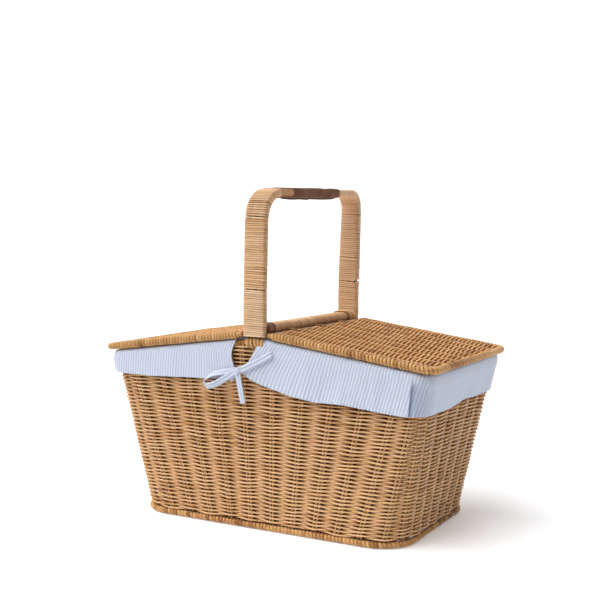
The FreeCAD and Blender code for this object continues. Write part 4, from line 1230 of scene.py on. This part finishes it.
def folded_corner(angle, z):
    """The cloth's outset at a corner: straight on from the face to a sharp fold, then flat."""
    radius, vertex = fold_place(z)
    near = radius / np.cos(np.minimum(angle, vertex))
    panel = radius * np.cos(vertex - FOLD_TURN) / np.cos(vertex)
    far = panel / np.cos(np.clip(angle, vertex, MAX_FOLD_ANGLE) - FOLD_TURN)
    far = np.where(angle > FOLD_TURN, np.minimum(far, radius), far)
    far = far - FOLD_STEP * (1 - blend_step(vertex, FOLD_TURN, angle))
    return np.where(angle <= vertex, near, far) - radius


def make_collar(side, word, hem_points, slit, seed):
    """The liner folded down over the rim. slit is its free edge at the front, as (x, z)."""
    edge_x = slit[0][0]
    ring = collar_columns(side, edge_x)
    corner_angle = angle_from_face(ring)
    columns = len(ring)
    centre, out = rim_centre(ring)
    run = arc_lengths(centre)
    hem_x, hem_z = np.array(hem_points, float).T
    slit_x, slit_z = np.array(slit, float)[::-1].T
    hem = np.interp(np.abs(centre[:, 0]) if side < 0 else centre[:, 0], hem_x, hem_z)
    facing_end = blend_step(0.3, 0.9, np.abs(out[:, 0]))
    hem = hem + facing_end * 1.2 * waves(centre[:, 1] / 130, 0 * run, seed)
    rows, depths, creases = [], [], []
    for row in range(FOLD_ROWS):
        turn = math.radians(FOLD_START * (1 - row / (FOLD_ROWS - 1)))
        point = centre + out * (COLLAR_LIFT * math.cos(turn))
        point[:, 2] += COLLAR_LIFT * math.sin(turn)
        rows.append(point)
        depths.append(np.full(columns, -COLLAR_LIFT * turn))
        creases.append(np.zeros(columns))
    for row in range(1, FALL_ROWS + 1):
        share = row / FALL_ROWS
        z = centre[:, 2] + (hem - centre[:, 2]) * share
        if word == "right":
            outset = COLLAR_OUTSET + folded_corner(corner_angle, z)
        else:
            outset = COLLAR_OUTSET + LEFT_END_LOOSE * blend_step(0.05, 1.0, corner_angle)
        face, _ = side_surface(ring, z, outset)
        hanging = centre + out * COLLAR_LIFT
        mix = blend_step(0, 0.35, share)
        point = hanging * (1 - mix) + face * mix
        point[:, 2] = z
        rows.append(point)
        depths.append(centre[:, 2] - z)
        at_corner = (word == "right") & (corner_angle > 0) & (corner_angle < math.pi / 2)
        # painted shade in the right collar's corner folds
        creases.append(mix * at_corner * fold_shade(corner_angle, z))
    grid, depth = np.array(rows), np.array(depths)
    run_grid = np.broadcast_to(run, depth.shape)
    step = np.linalg.norm(np.diff(grid, axis=1), axis=2)
    level_run = np.concatenate([np.zeros((len(grid), 1)), np.cumsum(step, axis=1)], axis=1)
    level_run += side * (grid[:, :1, 0] - edge_x)
    cloth = np.stack([level_run, depth, 0 * depth], axis=-1)
    pull = np.interp(grid[..., 2], slit_z, slit_x) - edge_x
    from_edge = np.minimum(run_grid, run[-1] - run_grid)
    fade = np.clip(1 - from_edge / DRAWN_REACH, 0, 1) ** 1.6
    grid[..., 0] += pull * fade
    fall = np.clip(depth / 45, 0, 1)
    ripple = 0.6 * waves(run_grid / 75, depth / 130, seed)
    ripple = ripple + 0.22 * waves(run_grid / 20, depth / 70, seed + 1)
    away_from_corner = 1 - 0.8 * np.sin(2 * corner_angle)
    push = (0.5 + ripple * away_from_corner) * fall
    grid = grid + out[None] * np.maximum(push, -1.5)[..., None]
    cloth[..., 0] += STRIPE_LEAN[word] * depth
    piece = cloth_object(f"collar_{word}_cloth", grid, cloth, crease_shade=np.array(creases))
    place(piece, liner_cloth, "basket", "liner_cloth", f"liner_collar_{word}")


BAG_INSET, BAG_FLOOR = 9.4, 14.0
WALL_ROWS, FLOOR_ROWS = 34, 26


def make_bag():
    """The liner's bag: down the inside of the wall and across the base, hanging a little loose."""
    param = np.linspace(0, 8, 480, endpoint=False)
    centre, out = rim_centre(param)
    run = arc_lengths(looped(centre))[:-1]
    rows, cloth = [], []
    for step in np.linspace(0, 1, WALL_ROWS):
        z = (centre[:, 2] + 2.0) * (1 - step) + BAG_FLOOR * step
        point, _ = side_surface(param, z, np.full(len(param), -BAG_INSET))
        sway = 16.0 + 2.0 * waves(run / 60, z / 90, 81) + 0.6 * waves(run / 19, z / 70, 82)
        settle = math.sin(math.pi * step) ** 0.5
        point = point - out * (sway * settle)[:, None]
        rows.append(point)
        cloth.append(np.column_stack([run, centre[:, 2] - z, 0 * run]))
    edge = rows[-1]
    for step in np.linspace(0, 1, FLOOR_ROWS + 1)[1:]:
        point = edge * np.array([1 - step, 1 - step, 0])
        rise = 11.6 + 2.4 * (1 - blend_step(0, 0.12, step))
        wrinkle = 0.5 * waves(point[:, 0] / 60, point[:, 1] / 60, 83)
        point[:, 2] = rise + np.clip(wrinkle, -0.6, 1.2) * blend_step(0, 0.1, step)
        rows.append(point)
        cloth.append(np.column_stack([point[:, 0] + 900, point[:, 1], 0 * run]))
    grid, coordinates = np.array(rows), np.array(cloth)
    piece = cloth_object("liner_bag_cloth", grid[:WALL_ROWS], coordinates[:WALL_ROWS], True)
    place(piece, liner_cloth, "basket", "liner_cloth", "liner_bag")
    floor = cloth_object("liner_floor_cloth", grid[WALL_ROWS - 1:], coordinates[WALL_ROWS - 1:], True)
    place(floor, liner_cloth, "basket", "liner_cloth")


def ribbon(points, facings, width, thickness, count=40, taper=None):
    """A folded tape along points; facings are the directions that its broad side looks in."""
    path = smooth_path(points, count)
    steps = np.linspace(0, 1, len(facings))
    places = np.linspace(0, 1, count)
    facing = np.stack([np.interp(places, steps, np.asarray(facings, float)[:, axis])
                       for axis in range(3)], axis=1)
    along = tangents(path, False)
    facing = unit(facing - along * (facing * along).sum(1, keepdims=True))
    across = np.cross(along, facing)
    half = np.full(count, width / 2) if taper is None else width / 2 * np.interp(
        places, np.linspace(0, 1, len(taper)), taper)
    spread = np.linspace(-1, 1, 13)
    ridge = 0.55 + 0.45 * np.sqrt(np.clip(1 - (2 * np.abs(spread) - 1) ** 2, 0, 1))
    ridge[0] = ridge[-1] = 0.35
    pinch = np.sqrt(np.clip(np.minimum(places, 1 - places) * arc_lengths(path)[-1] / 1.5, 0.02, 1))
    thick = (pinch * thickness / 2)[:, None, None]
    sideways = across[:, None] * half[:, None, None]
    upper = path[:, None] + sideways * spread[None, :, None] + facing[:, None] * (
        ridge[None, :, None] * thick)
    lower = path[:, None] + sideways * spread[None, ::-1, None] - facing[:, None] * (
        ridge[None, ::-1, None] * thick)
    ring = np.concatenate([upper, lower], axis=1)
    cloth = np.zeros(ring.shape)
    cloth[..., 0] = np.concatenate([spread * width / 2, spread[::-1] * width / 2])[None]
    cloth[..., 1] = arc_lengths(path)[:, None]
    number = ring.shape[1]
    quads = grid_quads(count, number, wrap_columns=True)
    half_number = number // 2
    cap = np.array([(i, i + 1, number - 2 - i, number - 1 - i) for i in range(half_number - 1)])
    quads = np.vstack([quads, cap, (cap + (count - 1) * number)[:, ::-1]])
    return ring.reshape(-1, 3), quads, cloth.reshape(-1, 3), arc_lengths(path)[-1], 2 * half.mean()


def join_ribbons(name, ribbons):
    """One piece of tape from several ribbons."""
    points, quads, cloths, base = [], [], [], 0
    for ring, faces, cloth, _, _ in ribbons:
        points.append(ring)
        quads.append(faces + base)
        cloths.append(cloth)
        base += len(ring)
    piece = mesh_object(name, np.vstack(points), np.vstack(quads),
                        [("cloth", "FLOAT_VECTOR", np.vstack(cloths))])
    return piece


def make_bows():
    """At the front and the back: a loop with its tail, and a strip that runs into the knot."""
    for side, word in ((-1, "front"), (1, "back")):
        def at(points):
            return [(x, side * depth, z) for x, depth, z in points]

        face = (0, side, 0)
        loop = ribbon(at([(-24, 133.6, 200), (-38, 133.8, 198), (-54, 134.2, 194.5),
                          (-65, 135.0, 189.0), (-69.5, 136.8, 182.5), (-64, 138.6, 178.5),
                          (-52, 138.4, 181.5), (-40, 137.2, 188.5), (-24, 136.2, 198.5)]),
                      [face, (0.0, side, 0.35), (-0.3, side * 0.6, 0.6), (-1, side * 0.2, 0),
                       (-0.2, side, -0.5), (0, side, -0.25), face], 8.2, 1.5, 64)
        tail = ribbon(at([(-21, 135.6, 199), (-19.5, 136.0, 190), (-16.5, 135.4, 174),
                          (-14, 134.6, 160)]), [face, face], 7.6, 1.6, 30)
        end = ribbon(at([(-24, 133.4, 197), (-29, 133.4, 191), (-33, 133.6, 186)]),
                     [face, face], 6.0, 1.3, 14, taper=[1, 0.9, 0.45])
        piece = join_ribbons(f"bow_{word}_loop", [loop, tail, end])
        place(piece, tie_cloth, "basket", "tie_cloth", f"tie_{word}_left")

        strip = ribbon(at([(-18, 135.4, 200.5), (-6, 134.8, 206), (10, 134.2, 214),
                           (26, 134.4, 223)]), [face, face], 8.6, 1.7, 36)
        knot = ribbon(at([(-18.2, 133.4, 202.2), (-19.2, 136.6, 202.0), (-21.5, 138.2, 199.2),
                          (-24.0, 137.2, 196.4), (-24.8, 133.8, 195.6)]),
                      [(0.5, side, 0.5), (0.3, side, 0.3), face, (-0.3, side, -0.3),
                       (-0.5, side, -0.5)], 6.6, 1.4, 26)
        piece = join_ribbons(f"bow_{word}_strip", [strip, knot])
        place(piece, tie_cloth, "basket", "tie_cloth", f"tie_{word}_right")


# ---------------------------------------------------------------- studio
AMBIENT = 0.10
FLOOR_GLOW = 0.185
# the floor darkens from this far to this far in front of the basket, to this share
FORE_FLOOR, FORE_SHADE = (0.42, 0.75), 0.35
# name, direction towards the light, strength, apparent size in degrees
SUNS = [("key", (-0.40, -0.40, 0.82), 3.56, 66), ("overhead", (0.05, 0.10, 0.99), 0.55, 120)]
AZIMUTH, ELEVATION, ROLL = [math.radians(angle) for angle in (28.5, 4.32, 0.38)]
DISTANCE, TARGET = 1.3538, (-0.0045, 0.0055, 0.2723)
LENS, SENSOR_WIDTH = 60.06, 36


def make_studio():
    """A pale floor that curves up behind, a dim sky and two large soft suns."""
    world = bpy.data.worlds.new("studio")
    bpy.context.scene.world = world
    world.use_nodes = True
    background = world.node_tree.nodes["Background"]
    background.inputs["Color"].default_value = (0.96, 0.98, 1.0, 1)
    background.inputs["Strength"].default_value = AMBIENT

    reach, back, height, ground = 9000.0, 5000.0, 6000.0, -0.4
    sweep = np.array([[-reach, -reach, ground], [reach, -reach, ground],
                      [reach, back, ground], [-reach, back, ground],
                      [reach, back, height], [-reach, back, height]])
    floor = mesh_object("studio_floor", sweep, np.array([[0, 1, 2, 3], [3, 2, 4, 5]]))
    floor.data.polygons.foreach_set("use_smooth", [False, False])
    paint = Graph("studio paint")
    dust = paint.noise(paint.position(), (3, 3, 3), 2.0)
    pale = paint.ramp(dust, [(0.3, (0.92, 0.93, 0.94)), (0.7, (0.94, 0.95, 0.96))])
    where = paint.parts(paint.position())
    towards = paint.math("SUBTRACT", paint.math("MULTIPLY", where["X"], 0.5),
                         paint.math("MULTIPLY", where["Y"], 0.86))
    fore = paint.range(towards, *FORE_FLOOR, 1.0, FORE_SHADE)
    paint.surface({"Base Color": paint.multiply(pale, fore), "Roughness": 0.9,
                   "Specular IOR Level": 0.1, "Emission Color": (1, 1, 1, 1),
                   "Emission Strength": paint.math("MULTIPLY", fore, FLOOR_GLOW)})
    floor.data.materials.append(paint.material)

    for name, direction, strength, angle in SUNS:
        light = bpy.data.lights.new(name, "SUN")
        light.energy = strength
        light.angle = math.radians(angle)
        lamp = bpy.data.objects.new(name, light)
        lamp.rotation_euler = Vector(direction).to_track_quat("Z", "Y").to_euler()
        bpy.context.scene.collection.objects.link(lamp)


def make_camera():
    """The photograph's camera."""
    back = Vector((math.sin(AZIMUTH) * math.cos(ELEVATION),
                   -math.cos(AZIMUTH) * math.cos(ELEVATION), math.sin(ELEVATION)))
    right = (-back).cross(Vector((0, 0, 1))).normalized()
    up = right.cross(-back)
    turned_right = right * math.cos(ROLL) + up * math.sin(ROLL)
    turned_up = up * math.cos(ROLL) - right * math.sin(ROLL)
    data = bpy.data.cameras.new("camera")
    data.sensor_width = SENSOR_WIDTH
    data.lens = LENS
    data.clip_start = 0.01
    camera = bpy.data.objects.new("camera", data)
    axes = Matrix((turned_right, turned_up, back)).transposed()
    camera.matrix_world = Matrix.Translation(Vector(TARGET) + back * DISTANCE) @ axes.to_4x4()
    bpy.context.scene.collection.objects.link(camera)
    bpy.context.scene.camera = camera


make_side_weave()
make_side_stakes()
make_border("rim", RIM, 60, gable_z, BORDER_RADIUS, (2.2, 1.25), 4.9, 0.16)
make_border("foot", FOOT, 50, foot_height, 3.8, (2.4, 1.0), 5.0, 0.16, 0.30)
make_base()
make_lid(-1, "left")
make_lid(1, "right")
make_handle()
make_grip()
make_lashings()
make_crossbar()
make_hinge_loops()
make_bag()
make_collar(-1, "left", HEM_LEFT, SLIT_LEFT, 71)
make_collar(1, "right", HEM_RIGHT, SLIT_RIGHT, 72)
make_bows()
make_studio()
make_camera()
bpy.context.scene.view_settings.view_transform = "Standard"
